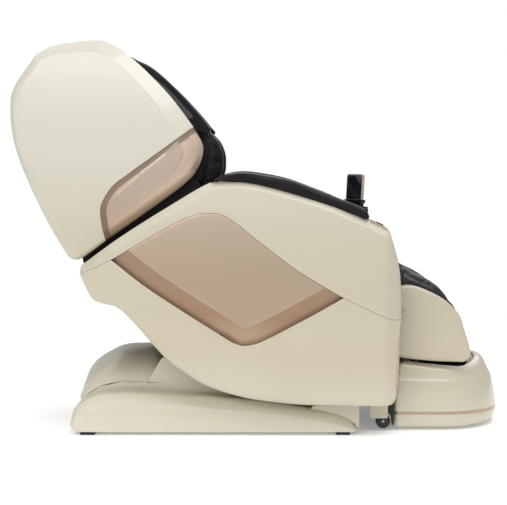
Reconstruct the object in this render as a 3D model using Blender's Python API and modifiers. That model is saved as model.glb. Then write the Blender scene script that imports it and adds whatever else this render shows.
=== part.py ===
"""Reclining massage chair with a zero-gravity seat, a winged back and a leg rest.

Metres, +Z up. +X is the chair's front, +Y the sitter's left. The origin is the
middle of the footprint, on the floor. Side outlines are (x, z) points; a piece of
the back is drawn in (u, v), where u climbs the back from its hinge and v points
forwards out of it.
"""
import math
from contextlib import contextmanager

import bmesh
import bpy
from mathutils import Matrix, Vector

NAME = "massage_chair"
GAP = 0.0003             # clearance between pieces that touch
SEAM = 0.0012            # half of the gap between two outer panels

# Lateral layout, as distances from the middle plane
ARM_IN, ARM_OUT = 0.2918, 0.420
PAD_IN = 0.2825
WING_IN, WING_OUT = 0.290, 0.375
BASE_HALF, LEDGE_HALF, DOME_HALF = 0.360, 0.330, 0.272
CALF_HALF, FOOT_HALF = 0.260, 0.270

# Joint centres in (x, z)
SEAT_PIVOT = (-0.205, 0.324)
BACK_PIVOT = (-0.236, 0.197)
LEG_PIVOT = (0.433, 0.463)
TILT_FOOT, TILT_HEAD = (-0.020, 0.185), (0.120, 0.300)
LIFT_FOOT, LIFT_HEAD = (0.100, 0.205), (0.403, 0.403)
WHEEL_CENTRE, WHEEL_R = (0.402, 0.030), 0.023
REMOTE_BOSS = (0.380, 0.350, 0.684)
QUICK_KEYS = (("power", -0.320), ("pause", -0.365))
QUICK_KEY_CENTRE = (0.381, 0.6708)
BACK_LEAN = math.radians(20)
LEG_LEAN = math.radians(22)

# Massage mechanism, as (u, v) on the back
KNEAD_PIVOT = (0.520, -0.002)
PILLOW_PIVOT = (0.925, 0.148)
SCREW_V = -0.086
ROLLER_R = 0.027
ROLLER_SPOTS = (("upper", 0.572, 0.028), ("lower", 0.468, 0.028))

# Leg rest, as distances down it from its hinge and out in front of it
LEG_TUBE = (0.066, -0.0145)
GUIDE_OUT, GUIDE_Y, GUIDE_R = -0.022, 0.200, 0.008
FOOT_ROLLERS = (("rear", 0.555), ("front", 0.640))
FOOT_ROLLER_Z = 0.056
TOE = 0.7925
BACK_CROWN = 0.0375

# Side outlines of the arms
ARM_TOP = [(-0.538, 0.530), (-0.413, 0.620), (-0.264, 0.714), (-0.142, 0.784),
           (-0.080, 0.793), (0.012, 0.785), (0.204, 0.730), (0.319, 0.682), (0.409, 0.639)]
ARM_FRONT_UPPER = [(0.409, 0.639), (0.438, 0.537), (0.447, 0.455), (0.449, 0.363)]
ARM_FRONT_LOWER = [(0.449, 0.363), (0.443, 0.309), (0.436, 0.150), (0.427, 0.107), (0.401, 0.096)]
ARM_BOTTOM = [(0.401, 0.096), (0.173, 0.100), (0.052, 0.110), (-0.049, 0.127), (-0.152, 0.161),
              (-0.219, 0.202), (-0.280, 0.249), (-0.358, 0.337), (-0.420, 0.400),
              (-0.474, 0.419), (-0.500, 0.435), (-0.528, 0.487)]
PARTING_FRONT = [(0.449, 0.363), (0.407, 0.369), (0.316, 0.410), (0.268, 0.433)]
DIAMOND_TOP = [(0.268, 0.433), (0.198, 0.473), (0.116, 0.524), (0.008, 0.606), (-0.058, 0.658),
               (-0.100, 0.685), (-0.144, 0.692), (-0.198, 0.682), (-0.274, 0.647), (-0.442, 0.549)]
DIAMOND_BOTTOM = [(0.268, 0.433), (0.170, 0.378), (0.035, 0.307), (-0.014, 0.289),
                  (-0.052, 0.289), (-0.111, 0.321), (-0.318, 0.454), (-0.442, 0.549)]
PARTING_REAR = [(-0.442, 0.549), (-0.528, 0.487)]
ARM_PAD_TOP = [(-0.125, 0.795), (-0.098, 0.806), (-0.048, 0.813), (0.013, 0.807), (0.109, 0.788),
               (0.206, 0.753), (0.262, 0.731)]
PAD_NOSE = {"left": [(0.285, 0.718), (0.298, 0.698)],
            "right": [(0.300, 0.716), (0.335, 0.699), (0.350, 0.676)]}

# Side outlines of the back: once round the wing, from its lower rear corner
WING_REAR = [(-0.583, 0.556), (-0.632, 0.639), (-0.703, 0.786), (-0.746, 0.909), (-0.757, 1.015),
             (-0.743, 1.081), (-0.675, 1.179)]
WING_CROWN = [(-0.675, 1.179), (-0.630, 1.202), (-0.574, 1.213), (-0.510, 1.220), (-0.463, 1.217),
              (-0.396, 1.179), (-0.316, 1.106), (-0.255, 1.039), (-0.192, 0.955)]
WING_NOSE = [(-0.192, 0.955), (-0.163, 0.891), (-0.181, 0.826), (-0.227, 0.774), (-0.353, 0.682),
             (-0.463, 0.605)]
WING_FOOT = [(-0.463, 0.605), (-0.537, 0.551), (-0.565, 0.546), (-0.583, 0.556)]
WING_SPLIT = [(-0.463, 0.605), (-0.474, 0.654), (-0.476, 0.713), (-0.442, 0.771), (-0.387, 0.814),
              (-0.256, 0.908), (-0.192, 0.955)]

# Side outlines of the base
SKIRT_LEDGE = [(-0.560, 0.088), (-0.495, 0.123), (-0.421, 0.133), (-0.297, 0.129), (-0.018, 0.108),
               (0.136, 0.086), (0.229, 0.068), (0.291, 0.046), (0.318, 0.022)]
SKIRT_CREASE = [(-0.556, 0.054), (-0.511, 0.082), (-0.449, 0.095), (-0.357, 0.094), (-0.018, 0.072),
                (0.136, 0.054), (0.229, 0.040), (0.285, 0.028), (0.318, 0.019)]
DOME_SEAT = [(-0.346, 0.153), (-0.427, 0.156), (-0.492, 0.141), (-0.554, 0.103)]
DOME_TOP = [(-0.554, 0.103), (-0.529, 0.171), (-0.486, 0.220), (-0.424, 0.269), (-0.357, 0.291),
            (-0.315, 0.290), (-0.296, 0.262), (-0.296, 0.232)]

CALF_TOP = [(0.405, 0.405), (0.420, 0.440), (0.460, 0.456), (0.510, 0.454), (0.590, 0.417),
            (0.638, 0.371), (0.654, 0.335), (0.679, 0.251), (0.674, 0.224), (0.655, 0.214)]
CALF_BOTTOM = [(0.655, 0.214), (0.550, 0.219), (0.450, 0.231), (0.425, 0.250)]

FINISHES = {
    "cream_shell": ((0.80, 0.77, 0.68), 0.25, 0.0),
    "bronze_trim": ((0.55, 0.40, 0.30), 0.35, 0.8),
    "leather": ((0.035, 0.028, 0.026), 0.50, 0.0),
    "gloss_black": ((0.02, 0.02, 0.02), 0.12, 0.0),
    "steel": ((0.30, 0.31, 0.32), 0.45, 0.9),
    "motor_case": ((0.10, 0.10, 0.11), 0.50, 0.1),
    "rubber": ((0.03, 0.03, 0.03), 0.80, 0.0),
    "roller": ((0.55, 0.52, 0.45), 0.55, 0.0),
}


# ---------------------------------------------------------------- scene set-up

def clear_scene():
    for obj in list(bpy.data.objects):
        bpy.data.objects.remove(obj, do_unlink=True)


def new_collection(name):
    group = bpy.data.collections.new(name)
    bpy.context.scene.collection.children.link(group)
    return group


def make_material(part_name, finish):
    """The part's own material, in one of the finishes."""
    colour, roughness, metallic = FINISHES[finish]
    material = bpy.data.materials.new(part_name)
    material.use_nodes = True
    shader = material.node_tree.nodes["Principled BSDF"]
    shader.inputs["Base Color"].default_value = (*colour, 1)
    shader.inputs["Roughness"].default_value = roughness
    shader.inputs["Metallic"].default_value = metallic
    return material


clear_scene()
PARTS = new_collection(NAME)
CUTTERS = new_collection("cutters")
CARRIERS = []            # the joints that carry whatever is made next, innermost last


@contextmanager
def moving(name, centre):
    """What is made inside is carried by an empty on its joint's axis."""
    joint = bpy.data.objects.new(f"{name}_joint", None)
    joint.empty_display_size = 0.03
    joint.location = centre
    if CARRIERS:
        outer, outer_centre = CARRIERS[-1]
        joint.parent = outer
        joint.location -= outer_centre
    PARTS.objects.link(joint)
    CARRIERS.append((joint, Vector(centre)))
    yield
    CARRIERS.pop()


def carry(obj):
    """Hang an object on the innermost joint without moving it."""
    if CARRIERS:
        obj.parent, centre = CARRIERS[-1]
        obj.matrix_parent_inverse = Matrix.Translation(-centre)


# ---------------------------------------------------------------- outline maths

def run(points, step=0.045):
    """Points along a smooth open curve through the given ones."""
    ends = [2 * Vector(points[0]) - Vector(points[1]), 2 * Vector(points[-1]) - Vector(points[-2])]
    ctrl = [ends[0]] + [Vector(p) for p in points] + [ends[1]]
    out = []
    for a, b, c, d in zip(ctrl, ctrl[1:], ctrl[2:], ctrl[3:]):
        count = max(1, round((c - b).length / step))
        for i in range(count):
            t = i / count
            out.append(0.5 * (2 * b + (c - a) * t + (2 * a - 5 * b + 4 * c - d) * t * t
                              + (3 * b - a - 3 * c + d) * t ** 3))
    return out + [ctrl[-2]]


def loop(*sections, step=0.045):
    """A closed outline and, for each point, the width of its rounded edge.

    Each section is (points, edge): a smooth run, meeting the next at a corner.
    """
    outline, edges = [], []
    for points, edge in sections:
        for p in run(points, step)[:-1] if len(points) > 2 else [Vector(q) for q in points[:-1]]:
            outline.append(p)
            edges.append(edge)
    for _ in range(2):
        edges = [(edges[i - 1] + 2 * e + edges[(i + 1) % len(edges)]) / 4
                 for i, e in enumerate(edges)]
    return outline, edges


def area(outline):
    return sum(a.x * b.y - b.x * a.y for a, b in zip(outline, outline[1:] + outline[:1])) / 2


def inset(outline, widths):
    """The outline moved inwards, point by point."""
    side = 1 if area(outline) > 0 else -1
    moved = []
    for i, p in enumerate(outline):
        before = (p - outline[i - 1]).normalized()
        after = (outline[(i + 1) % len(outline)] - p).normalized()
        normal = Vector((-before.y - after.y, before.x + after.x)).normalized() * side
        turn = max(0.6, normal.dot(Vector((-after.y, after.x)) * side))
        moved.append(p + normal * (widths[i] / turn))
    return moved


def shrink(outline, width):
    return inset(outline, [width] * len(outline))


def back(u, v):
    """World (x, z) of a point of the back."""
    sin, cos = math.sin(BACK_LEAN), math.cos(BACK_LEAN)
    return (BACK_PIVOT[0] - sin * u + cos * v, BACK_PIVOT[1] + cos * u + sin * v)


def along(start, end, distance):
    a, b = Vector(start), Vector(end)
    return a + (b - a).normalized() * distance


# ---------------------------------------------------------------- solids

def add_object(name, mesh, finish=None):
    """A part when it has a finish, otherwise a cutter or a piece to be joined on."""
    obj = bpy.data.objects.new(name, mesh)
    carry(obj)
    if finish:
        mesh.materials.append(make_material(name, finish))
        PARTS.objects.link(obj)
    else:
        CUTTERS.objects.link(obj)
        obj.hide_render = True
        obj.display_type = "WIRE"
    return obj


def finish_mesh(bm, name):
    bmesh.ops.recalc_face_normals(bm, faces=bm.faces[:])
    mesh = bpy.data.meshes.new(name)
    bm.to_mesh(mesh)
    bm.free()
    mesh.shade_smooth()
    mesh.set_sharp_from_angle(angle=math.radians(35))
    return mesh


def loft(name, rings, finish=None, bent=False):
    """A closed body through rings of 3-D points with equal counts, capped at both ends.

    A bent one has faces that aren't flat, so they are split into triangles.
    """
    bm = bmesh.new()
    rows = [[bm.verts.new(p) for p in ring] for ring in rings]
    for low, high in zip(rows, rows[1:]):
        for i in range(len(low)):
            j = (i + 1) % len(low)
            bm.faces.new((low[i], low[j], high[j], high[i]))
    bm.faces.new(rows[0])
    bm.faces.new(rows[-1])
    if bent:
        bmesh.ops.triangulate(bm, faces=bm.faces[:])
    return add_object(name, finish_mesh(bm, name), finish)


def at_y(outline, y):
    return [(p[0], y, p[1]) for p in outline]


def slab(name, outline, y0, y1, finish=None):
    """A flat side outline, extruded from y0 to y1."""
    bm = bmesh.new()
    face = bm.faces.new([bm.verts.new(p) for p in at_y(outline, y0)])
    grown = bmesh.ops.extrude_face_region(bm, geom=[face])["geom"]
    far = [v for v in grown if isinstance(v, bmesh.types.BMVert)]
    bmesh.ops.translate(bm, vec=(0, y1 - y0, 0), verts=far)
    return add_object(name, finish_mesh(bm, name), finish)


def panel(name, shape, y_in, y_out, depth, finish, steps=3):
    """A side panel whose outer edge rounds over by each point's edge width."""
    outline, edges = shape
    sign = math.copysign(1, y_out)
    rings = [at_y(outline, y_in)]
    for i in range(steps + 1):
        turn = math.pi / 2 * i / steps
        widths = [e * (1 - math.cos(turn)) for e in edges]
        rings.append(at_y(inset(outline, widths), y_out - sign * depth * (1 - math.sin(turn))))
    return loft(name, rings, finish)


def box(name, x, y, z, finish=None, turn=None):
    """A box between pairs of x, y and z, turned by a matrix when one is given."""
    bm = bmesh.new()
    bmesh.ops.create_cube(bm, size=1)
    size = Matrix.Diagonal((x[1] - x[0], y[1] - y[0], z[1] - z[0], 1))
    centre = Matrix.Translation(((x[0] + x[1]) / 2, (y[0] + y[1]) / 2, (z[0] + z[1]) / 2))
    bmesh.ops.transform(bm, matrix=(turn or Matrix()) @ centre @ size, verts=bm.verts)
    return add_object(name, finish_mesh(bm, name), finish)


def rod(name, start, end, radius, finish=None, facets=16):
    """A round bar between two 3-D points."""
    a, b = Vector(start), Vector(end)
    bm = bmesh.new()
    bmesh.ops.create_cone(bm, cap_ends=True, segments=facets, radius1=radius, radius2=radius,
                          depth=(b - a).length)
    aim = (b - a).to_track_quat("Z", "Y").to_matrix().to_4x4()
    bmesh.ops.transform(bm, matrix=Matrix.Translation((a + b) / 2) @ aim, verts=bm.verts)
    return add_object(name, finish_mesh(bm, name), finish)


def cross_rod(name, centre, y0, y1, radius, finish=None, facets=16):
    return rod(name, (centre[0], y0, centre[1]), (centre[0], y1, centre[1]), radius, finish, facets)


def combine(obj, operation, *others):
    for other in others:
        step = obj.modifiers.new(other.name, "BOOLEAN")
        step.operation = operation
        step.object = other
    return obj


def join(obj, *others):
    return combine(obj, "UNION", *others)


def cut(obj, *others):
    return combine(obj, "DIFFERENCE", *others)


def round_edges(obj, width, segments=2):
    step = obj.modifiers.new("rounding", "BEVEL")
    step.width = width
    step.segments = segments
    step.limit_method = "ANGLE"
    step.angle_limit = math.radians(40)
    return obj


def on_axis(centre, y=0.0):
    """The 3-D point of an (x, z) centre."""
    return (centre[0], y, centre[1])


def sides():
    """Name ending and direction of the sitter's left and right."""
    return (("left", 1), ("right", -1))


def pair(name, maker):
    """Both mirror copies of a helper solid."""
    return [maker(f"{name}_{side}", sign) for side, sign in sides()]


# ---------------------------------------------------------------- base

def base_frame():
    frame = box("base_frame", (-0.545, 0.292), (-0.325, 0.325), (0.0153, 0.0213), "steel")
    bracket = [(0.190, 0.020), (0.235, 0.020), (0.252, 0.100), (0.372, 0.100), (0.386, 0.085),
               (0.386, 0.018), (0.418, 0.018), (0.418, 0.112), (0.400, 0.127), (0.225, 0.127),
               (0.190, 0.070)]
    rails = pair("slide_rail", lambda n, s: box(
        n, (-0.400, 0.135), sorted((s * 0.134, s * 0.146)), (0.018, 0.138)))
    arms = pair("wheel_arm", lambda n, s: slab(n, bracket, s * 0.232, s * 0.242))
    axles = pair("wheel_axle", lambda n, s: cross_rod(
        n, WHEEL_CENTRE, s * 0.238, s * 0.272, 0.005, facets=10))
    join(frame, *rails, *arms, *axles)


def skirt_outline(t, tuck):
    """Side outline of the skirt, from its crease (t = 0) to the top of its ledge (t = 1)."""
    top = [Vector(a).lerp(Vector(b), t) for a, b in zip(SKIRT_CREASE, SKIRT_LEDGE)]
    low = [(0.322, 0.014), (0.312, 0.011), (-0.562, 0.011), (-0.580, 0.024)]
    outline = [Vector(p) for p in low] + run([(-0.580, 0.034)] + top, 0.08)
    middle = -0.130
    return [(middle + (p[0] - middle) * (1 - tuck), p[1]) for p in outline]


def base_skirt():
    levels = ((BASE_HALF, 0.0, 0.045), (BASE_HALF - 0.008, 0.25, 0.015), (LEDGE_HALF, 1.0, 0.0))
    rings = [at_y(skirt_outline(t, tuck), -y) for y, t, tuck in levels]
    rings += [at_y(skirt_outline(t, tuck), y) for y, t, tuck in reversed(levels)]
    skirt = loft("base_skirt", rings, "cream_shell")
    rise = [(-0.552, 0.070), (-0.552, 0.1025), (-0.492, 0.1405), (-0.427, 0.1555)]
    deck = rise + [(-0.344, 0.1520), (-0.2935, 0.234), (-0.240, 0.240), (-0.120, 0.160),
                   (-0.060, 0.100)]
    tread = rise + [(-0.347, 0.1525), (-0.340, 0.100)]
    cheeks = pair("skirt_cheek", lambda n, s: slab(n, deck, s * 0.262, s * DOME_HALF))
    rim = slab("skirt_rim", tread, -0.268, 0.268)
    hollow = [(-0.548, -0.010), (0.295, -0.010), (0.295, 0.0280), (0.229, 0.0580), (0.136, 0.076),
              (-0.018, 0.098), (-0.297, 0.119), (-0.421, 0.122), (-0.490, 0.111), (-0.548, 0.074)]
    slots = pair("rail_slot", lambda n, s: box(
        n, (-0.408, 0.143), sorted((s * 0.112, s * 0.168)), (0.05, 0.20)))
    slots += pair("bracket_slot", lambda n, s: box(
        n, (0.180, 0.262), sorted((s * 0.226, s * 0.248)), (0.02, 0.15)))
    join(skirt, rim, *cheeks)
    cut(skirt, slab("skirt_hollow", hollow, -0.336, 0.336), *slots)


def base_rear_cover():
    lift = 2 * GAP
    outline, edges = loop(([(p[0], p[1] + lift) for p in DOME_SEAT], 0.0),
                          ([(p[0] - lift, p[1] + lift) for p in DOME_TOP], 0.03))
    flat_count = len(run(DOME_SEAT))
    edges = [0.0] * flat_count + edges[flat_count:]
    levels = ((DOME_HALF, 1.0), (DOME_HALF - 0.004, 0.55), (DOME_HALF - 0.014, 0.22),
              (DOME_HALF - 0.037, 0.0))
    rings = [at_y(inset(outline, [e * k for e in edges]), -y) for y, k in levels]
    rings += [at_y(inset(outline, [e * k for e in edges]), y) for y, k in reversed(levels)]
    cover = loft("base_rear_cover", rings, "cream_shell")
    hollow = [(-0.540, 0.060), (-0.517, 0.150), (-0.476, 0.206), (-0.418, 0.250), (-0.354, 0.274),
              (-0.322, 0.270), (-0.240, 0.270), (-0.240, 0.060)]
    cut(cover, slab("cover_hollow", hollow, -0.252, 0.252),
        box("inlet_hole", (-0.60, -0.48), (0.0985, 0.1515), (0.1685, 0.1965)))


def floor_bars():
    for name, x in (("front", (0.251, 0.290)), ("rear", (-0.545, -0.503))):
        bar = box(f"floor_bar_{name}", x, (-0.322, 0.322), (0.0, 0.015), "rubber")
        round_edges(bar, 0.003, 1)


def transport_wheels():
    for side, sign in sides():
        with moving(f"wheel_{side}", on_axis(WHEEL_CENTRE, sign * 0.258)):
            wheel = cross_rod(f"transport_wheel_{side}", WHEEL_CENTRE, sign * 0.246, sign * 0.270,
                              WHEEL_R, "rubber", 24)
            round_edges(wheel, 0.003, 1)
            cut(wheel, cross_rod(f"wheel_bore_{side}", WHEEL_CENTRE, sign * 0.24, sign * 0.28,
                                 0.0055, facets=10))


def power_supply():
    case = box("power_supply", (-0.468, -0.395), (0.040, 0.200), (0.160, 0.205), "motor_case")
    join(case, box("mains_inlet", (-0.522, -0.465), (0.100, 0.150), (0.170, 0.195)))
    cut(case, box("inlet_well", (-0.545, -0.520), (0.108, 0.142), (0.175, 0.190)))


def slide_carriage():
    carriage = box("slide_carriage", (-0.300, 0.000), (-0.165, 0.165), (0.143, 0.151), "steel")
    post = [(-0.290, 0.145), (-0.120, 0.145), (-0.178, 0.345), (-0.232, 0.345)]
    lug = [(-0.050, 0.147), (0.000, 0.147), (-0.003, 0.198), (-0.037, 0.198)]
    shoes = pair("slide_shoe", lambda n, s: box(
        n, (-0.330, 0.000), sorted((s * 0.115, s * 0.165)), (0.1383, 0.148)))
    posts = pair("seat_post", lambda n, s: slab(n, post, s * 0.158, s * 0.172))
    pins = pair("seat_pin", lambda n, s: cross_rod(n, SEAT_PIVOT, s * 0.165, s * 0.195, 0.009))
    lugs = pair("tilt_lug", lambda n, s: slab(n, lug, s * 0.022, s * 0.032))
    join(carriage, *shoes, *posts, *pins, *lugs)
    cut(carriage, cross_rod("tilt_lug_hole", TILT_FOOT, -0.05, 0.05, 0.0065))


def actuator(name, foot, head, y, tube_len):
    """A linear actuator: a motor tube that pivots at its foot, and a rod with a forked head."""
    def spot(distance, rise=0.0, lateral=0.0):
        p = along(foot, head, distance)
        n = (Vector(head) - Vector(foot)).normalized()
        return (p.x - n.y * rise, y + lateral, p.y + n.x * rise)

    reach = (Vector(head) - Vector(foot)).length
    with moving(f"{name}_foot", on_axis(foot, y)):
        actuator_motor(name, spot, foot, y, tube_len)
        with moving(f"{name}_stroke", spot(tube_len)):
            actuator_rod(name, spot, reach)


def actuator_motor(name, spot, foot, y, tube_len):
    tube = rod(f"{name}_motor", spot(-0.014), spot(tube_len), 0.017, "motor_case")
    pin = cross_rod(f"{name}_foot_pin", foot, y - 0.034, y + 0.034, 0.006)
    can = rod(f"{name}_can", spot(0.035, -0.030), spot(tube_len - 0.005, -0.030), 0.0165)
    join(tube, can, pin)
    cut(tube, rod(f"{name}_bore", spot(0.030), spot(tube_len + 0.02), 0.0085))


def actuator_rod(name, spot, reach):
    stem = rod(f"{name}_rod", spot(0.040), spot(reach - 0.018), 0.008, "steel")
    fork = box(f"{name}_fork_base", (-0.0205, 0.0205), (-0.006, 0.006), (-0.003, 0.006))
    aim = (Vector(spot(reach)) - Vector(spot(0))).to_track_quat("Z", "Y").to_matrix().to_4x4()
    fork.data.transform(Matrix.Translation(spot(reach - 0.018)) @ aim)
    tines = [rod(f"{name}_tine_{i}", spot(reach - 0.019, 0, y), spot(reach + 0.008, 0, y), 0.0045,
                 facets=8) for i, y in enumerate((-0.0155, 0.0155))]
    join(stem, fork, *tines)


# ---------------------------------------------------------------- seat

def seat_frame():
    frame = box("seat_frame", (-0.150, 0.235), (-0.2815, 0.2815), (0.322, 0.328), "steel")
    link = [(-0.262, 0.180), (-0.236, 0.165), (-0.208, 0.178), (-0.175, 0.300), (-0.120, 0.312),
            (-0.120, 0.325), (-0.172, 0.326), (-0.182, 0.345), (-0.225, 0.350), (-0.235, 0.320)]
    knee = [(0.120, 0.3235), (0.330, 0.3235), (0.452, 0.445), (0.452, 0.478), (0.436, 0.484),
            (0.414, 0.478), (0.405, 0.452), (0.290, 0.345), (0.120, 0.338)]
    tilt_lug = [(0.111, 0.325), (0.135, 0.325), (0.131, 0.292), (0.114, 0.291)]
    lift_lug = [(0.070, 0.325), (0.130, 0.325), (0.116, 0.190), (0.084, 0.190)]
    links = pair("seat_link", lambda n, s: slab(n, link, s * 0.176, s * 0.190))
    knees = pair("seat_knee", lambda n, s: slab(n, knee, s * 0.2685, s * 0.2805))
    lugs = [slab("tilt_head_lug", tilt_lug, -0.010, 0.010)]
    lugs += [slab(f"lift_lug_{i}", lift_lug, y, y + 0.010) for i, y in enumerate((-0.132, -0.078))]
    join(frame, *links, *knees, *lugs)
    cut(frame, cross_rod("seat_pin_hole", SEAT_PIVOT, -0.30, 0.30, 0.0095),
        cross_rod("back_pin_hole", BACK_PIVOT, -0.30, 0.30, 0.0095),
        cross_rod("leg_pin_hole", LEG_PIVOT, -0.30, 0.30, 0.0085),
        cross_rod("lift_lug_hole", LIFT_FOOT, -0.15, -0.06, 0.0065))


def seat_cushion():
    """One side outline across the seat, rounded at both ends."""
    side_view = [(-0.145, 0.3315), (0.050, 0.3315), (0.190, 0.3320), (0.250, 0.3430),
                 (0.340, 0.3900), (0.353, 0.430), (0.325, 0.468), (0.200, 0.474), (0.000, 0.462),
                 (-0.120, 0.458), (-0.165, 0.440), (-0.162, 0.350)]
    outline, _ = loop((side_view + side_view[:1], 0.0), step=0.06)
    half, edge, depth = 0.266, 0.010, 0.030
    levels = ((half, edge), (half - 0.3 * depth, 0.3 * edge), (half - depth, 0.0))
    rings = [at_y(shrink(outline, width), -y) for y, width in levels]
    rings += [at_y(shrink(outline, width), y) for y, width in reversed(levels)]
    loft("seat_cushion", rings, "leather")


def air_pump():
    pump = box("air_pump", (0.100, 0.225), (0.060, 0.220), (0.240, 0.3217), "motor_case")
    round_edges(pump, 0.008)


def arm_shells(side, sign):
    upper = loop((ARM_TOP, 0.030), (ARM_FRONT_UPPER, 0.014), (PARTING_FRONT, 0.003),
                 (DIAMOND_TOP, 0.003), (PARTING_REAR, 0.003), ([PARTING_REAR[-1], ARM_TOP[0]], 0.014))
    lower = loop((ARM_FRONT_LOWER, 0.014), (ARM_BOTTOM, 0.012), (PARTING_REAR[::-1], 0.003),
                 (DIAMOND_BOTTOM[::-1], 0.003), (PARTING_FRONT[::-1], 0.003))
    insert = loop((DIAMOND_TOP, 0.004), (DIAMOND_BOTTOM[::-1], 0.004))
    upper_hollow = [(-0.430, 0.585), (-0.270, 0.672), (-0.150, 0.735), (-0.060, 0.745),
                    (0.180, 0.690), (0.375, 0.605), (0.415, 0.480), (0.330, 0.430), (0.230, 0.485),
                    (0.020, 0.630), (-0.100, 0.712), (-0.210, 0.700)]
    lower_hollow = [(-0.440, 0.500), (-0.440, 0.440), (-0.330, 0.335), (-0.220, 0.225),
                    (-0.080, 0.158), (0.100, 0.126), (0.390, 0.120), (0.412, 0.180), (0.418, 0.345),
                    (0.265, 0.405), (0.120, 0.325), (-0.030, 0.265), (-0.150, 0.320)]
    for name, shape, hollow in (("upper", upper, upper_hollow), ("lower", lower, lower_hollow)):
        outline = shrink(shape[0], SEAM)
        shell = panel(f"arm_{name}_shell_{side}", (outline, shape[1]), sign * ARM_IN,
                      sign * ARM_OUT, 0.020 if name == "upper" else 0.010, "cream_shell")
        cut(shell, slab(f"arm_{name}_hollow_{side}", hollow, sign * 0.28, sign * 0.398))
    panel(f"arm_insert_{side}", (shrink(insert[0], SEAM), insert[1]), sign * 0.399, sign * 0.4165,
          0.004, "bronze_trim", 2)


def arm_top_at(x):
    """Height of the arm's top edge at x."""
    edge = run(ARM_TOP)
    for a, b in zip(edge, edge[1:]):
        if a.x <= x <= b.x:
            return a.y + (b.y - a.y) * (x - a.x) / (b.x - a.x)
    return edge[-1].y


def arm_pad(side, sign):
    top = run(ARM_PAD_TOP + PAD_NOSE[side], 0.05)
    end = PAD_NOSE[side][-1][0]
    rest = [Vector((p.x, p.y + 0.0012)) for p in run(ARM_TOP, 0.05) if -0.145 < p.x < end - 0.01]
    outline = top + [Vector((end, arm_top_at(end) + 0.0012))] + rest[::-1]
    widths = [0.001 + 0.008 * math.sin(math.pi * i / (len(top) - 1)) for i in range(len(top))]
    widths += [0.0] * (len(rest) + 1)
    rings = []
    for y, k in ((PAD_IN, 1.0), (PAD_IN + 0.004, 0.3), (PAD_IN + 0.014, 0.0), (0.396, 0.0),
                 (0.406, 0.3), (0.410, 1.0)):
        rings.append(at_y([p - Vector((0, w * k)) for p, w in zip(outline, widths)], sign * y))
    pad = loft(f"arm_pad_{side}", rings, "leather")
    lining = [(-0.500, 0.500), (-0.400, 0.420), (-0.225, 0.262), (-0.040, 0.200), (0.240, 0.200),
              (0.395, 0.300), (0.395, 0.645), (0.300, 0.690), (0.012, 0.792), (-0.080, 0.798),
              (-0.142, 0.778), (-0.420, 0.600)]
    join(pad, slab(f"arm_lining_{side}", lining, sign * PAD_IN, sign * (ARM_IN - GAP)))


def arm_end_trim(side, sign):
    start = PAD_NOSE[side][-1][0] + 0.0015
    count = 5
    xs = [start + (0.408 - start) * i / count for i in range(count + 1)]
    lower = [(x, arm_top_at(x) + 0.0012) for x in xs]
    upper = [(x, z + 0.0095) for x, z in lower]
    outline = lower + [(0.4135, 0.6400), (0.4125, 0.6480)] + upper[::-1]
    trim = slab(f"arm_end_trim_{side}", outline, sign * PAD_IN, sign * 0.405, "bronze_trim")
    if side == "left":
        boss = Vector(REMOTE_BOSS)
        join(trim, rod("remote_boss", boss - Vector((0, 0, 0.024)), boss, 0.017))
    else:
        quick_buttons(trim)


def quick_buttons(trim):
    """Two round keys, square to the slope of the right arm's end trim."""
    slope = math.radians(65)
    axis = Vector((math.cos(slope), 0, math.sin(slope)))
    for name, y in QUICK_KEYS:
        face = Vector(on_axis(QUICK_KEY_CENTRE, y))
        cut(trim, rod(f"{name}_well", face - axis * 0.0050, face + axis * 0.01, 0.0125))
        with moving(f"button_{name}", face):
            button = rod(f"quick_button_{name}", face - axis * 0.0030, face + axis * 0.0030,
                         0.0120, "gloss_black")
            round_edges(button, 0.0008, 1)


def remote():
    """The handset in its tilting cradle, on a stand that swivels on the left arm."""
    boss = Vector(REMOTE_BOSS)
    facing = Matrix.Rotation(math.radians(-45), 4, "Z") @ Matrix.Rotation(math.radians(-5), 4, "X")
    place = Matrix.Translation((0.349, 0.350, 0.711)) @ facing
    with moving("stand", boss):
        remote_stand(boss, place)
        with moving("cradle", place @ Vector((0, 0.0165, 0))):
            remote_cradle(place)
            with moving("handset", place.translation):
                remote_handset(place)
                with moving("key", place @ Vector((0, -0.0088, 0.035))):
                    box("remote_key", (-0.0080, 0.0080), (-0.0098, -0.0078), (0.0270, 0.0430),
                        "bronze_trim", place)


def remote_stand(boss, place):
    stand = rod("remote_stand", boss + Vector((0, 0, GAP)), boss + Vector((0, 0, 0.006)), 0.016,
                "bronze_trim")
    yoke = cross_rod("remote_yoke", (0, 0), -0.018, 0.018, 0.003, facets=10)
    across = Matrix.Rotation(math.pi / 2, 4, "Z")
    yoke.data.transform(place @ Matrix.Translation((0, 0.0165, 0)) @ across)
    neck = rod("remote_neck", boss + Vector((-0.001, 0.006, 0.0052)), place @ Vector((0, 0.018, 0)),
               0.0035, facets=10)
    join(stand, neck, yoke)


def remote_cradle(place):
    cradle = box("remote_cradle", (-0.039, 0.039), (-0.0125, 0.0130), (-0.009, 0.022),
                 "gloss_black", place)
    cut(cradle, box("cradle_well", (-0.0360, 0.0360), (-0.0092, 0.0092), (-0.004, 0.04), turn=place))


def remote_handset(place):
    handset = box("remote_handset", (-0.0355, 0.0355), (-0.0088, 0.0088), (-0.0035, 0.094),
                  "gloss_black", place)
    round_edges(handset, 0.004, 2)
    cut(handset, box("key_well", (-0.0085, 0.0085), (-0.02, -0.0065), (0.0265, 0.0435), turn=place))


# ---------------------------------------------------------------- back

def back_slab(name, u, v, y, finish=None):
    outline = [Vector(back(*p)) for p in ((u[0], v[0]), (u[1], v[0]), (u[1], v[1]), (u[0], v[1]))]
    return slab(name, outline, y[0], y[1], finish)


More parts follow.
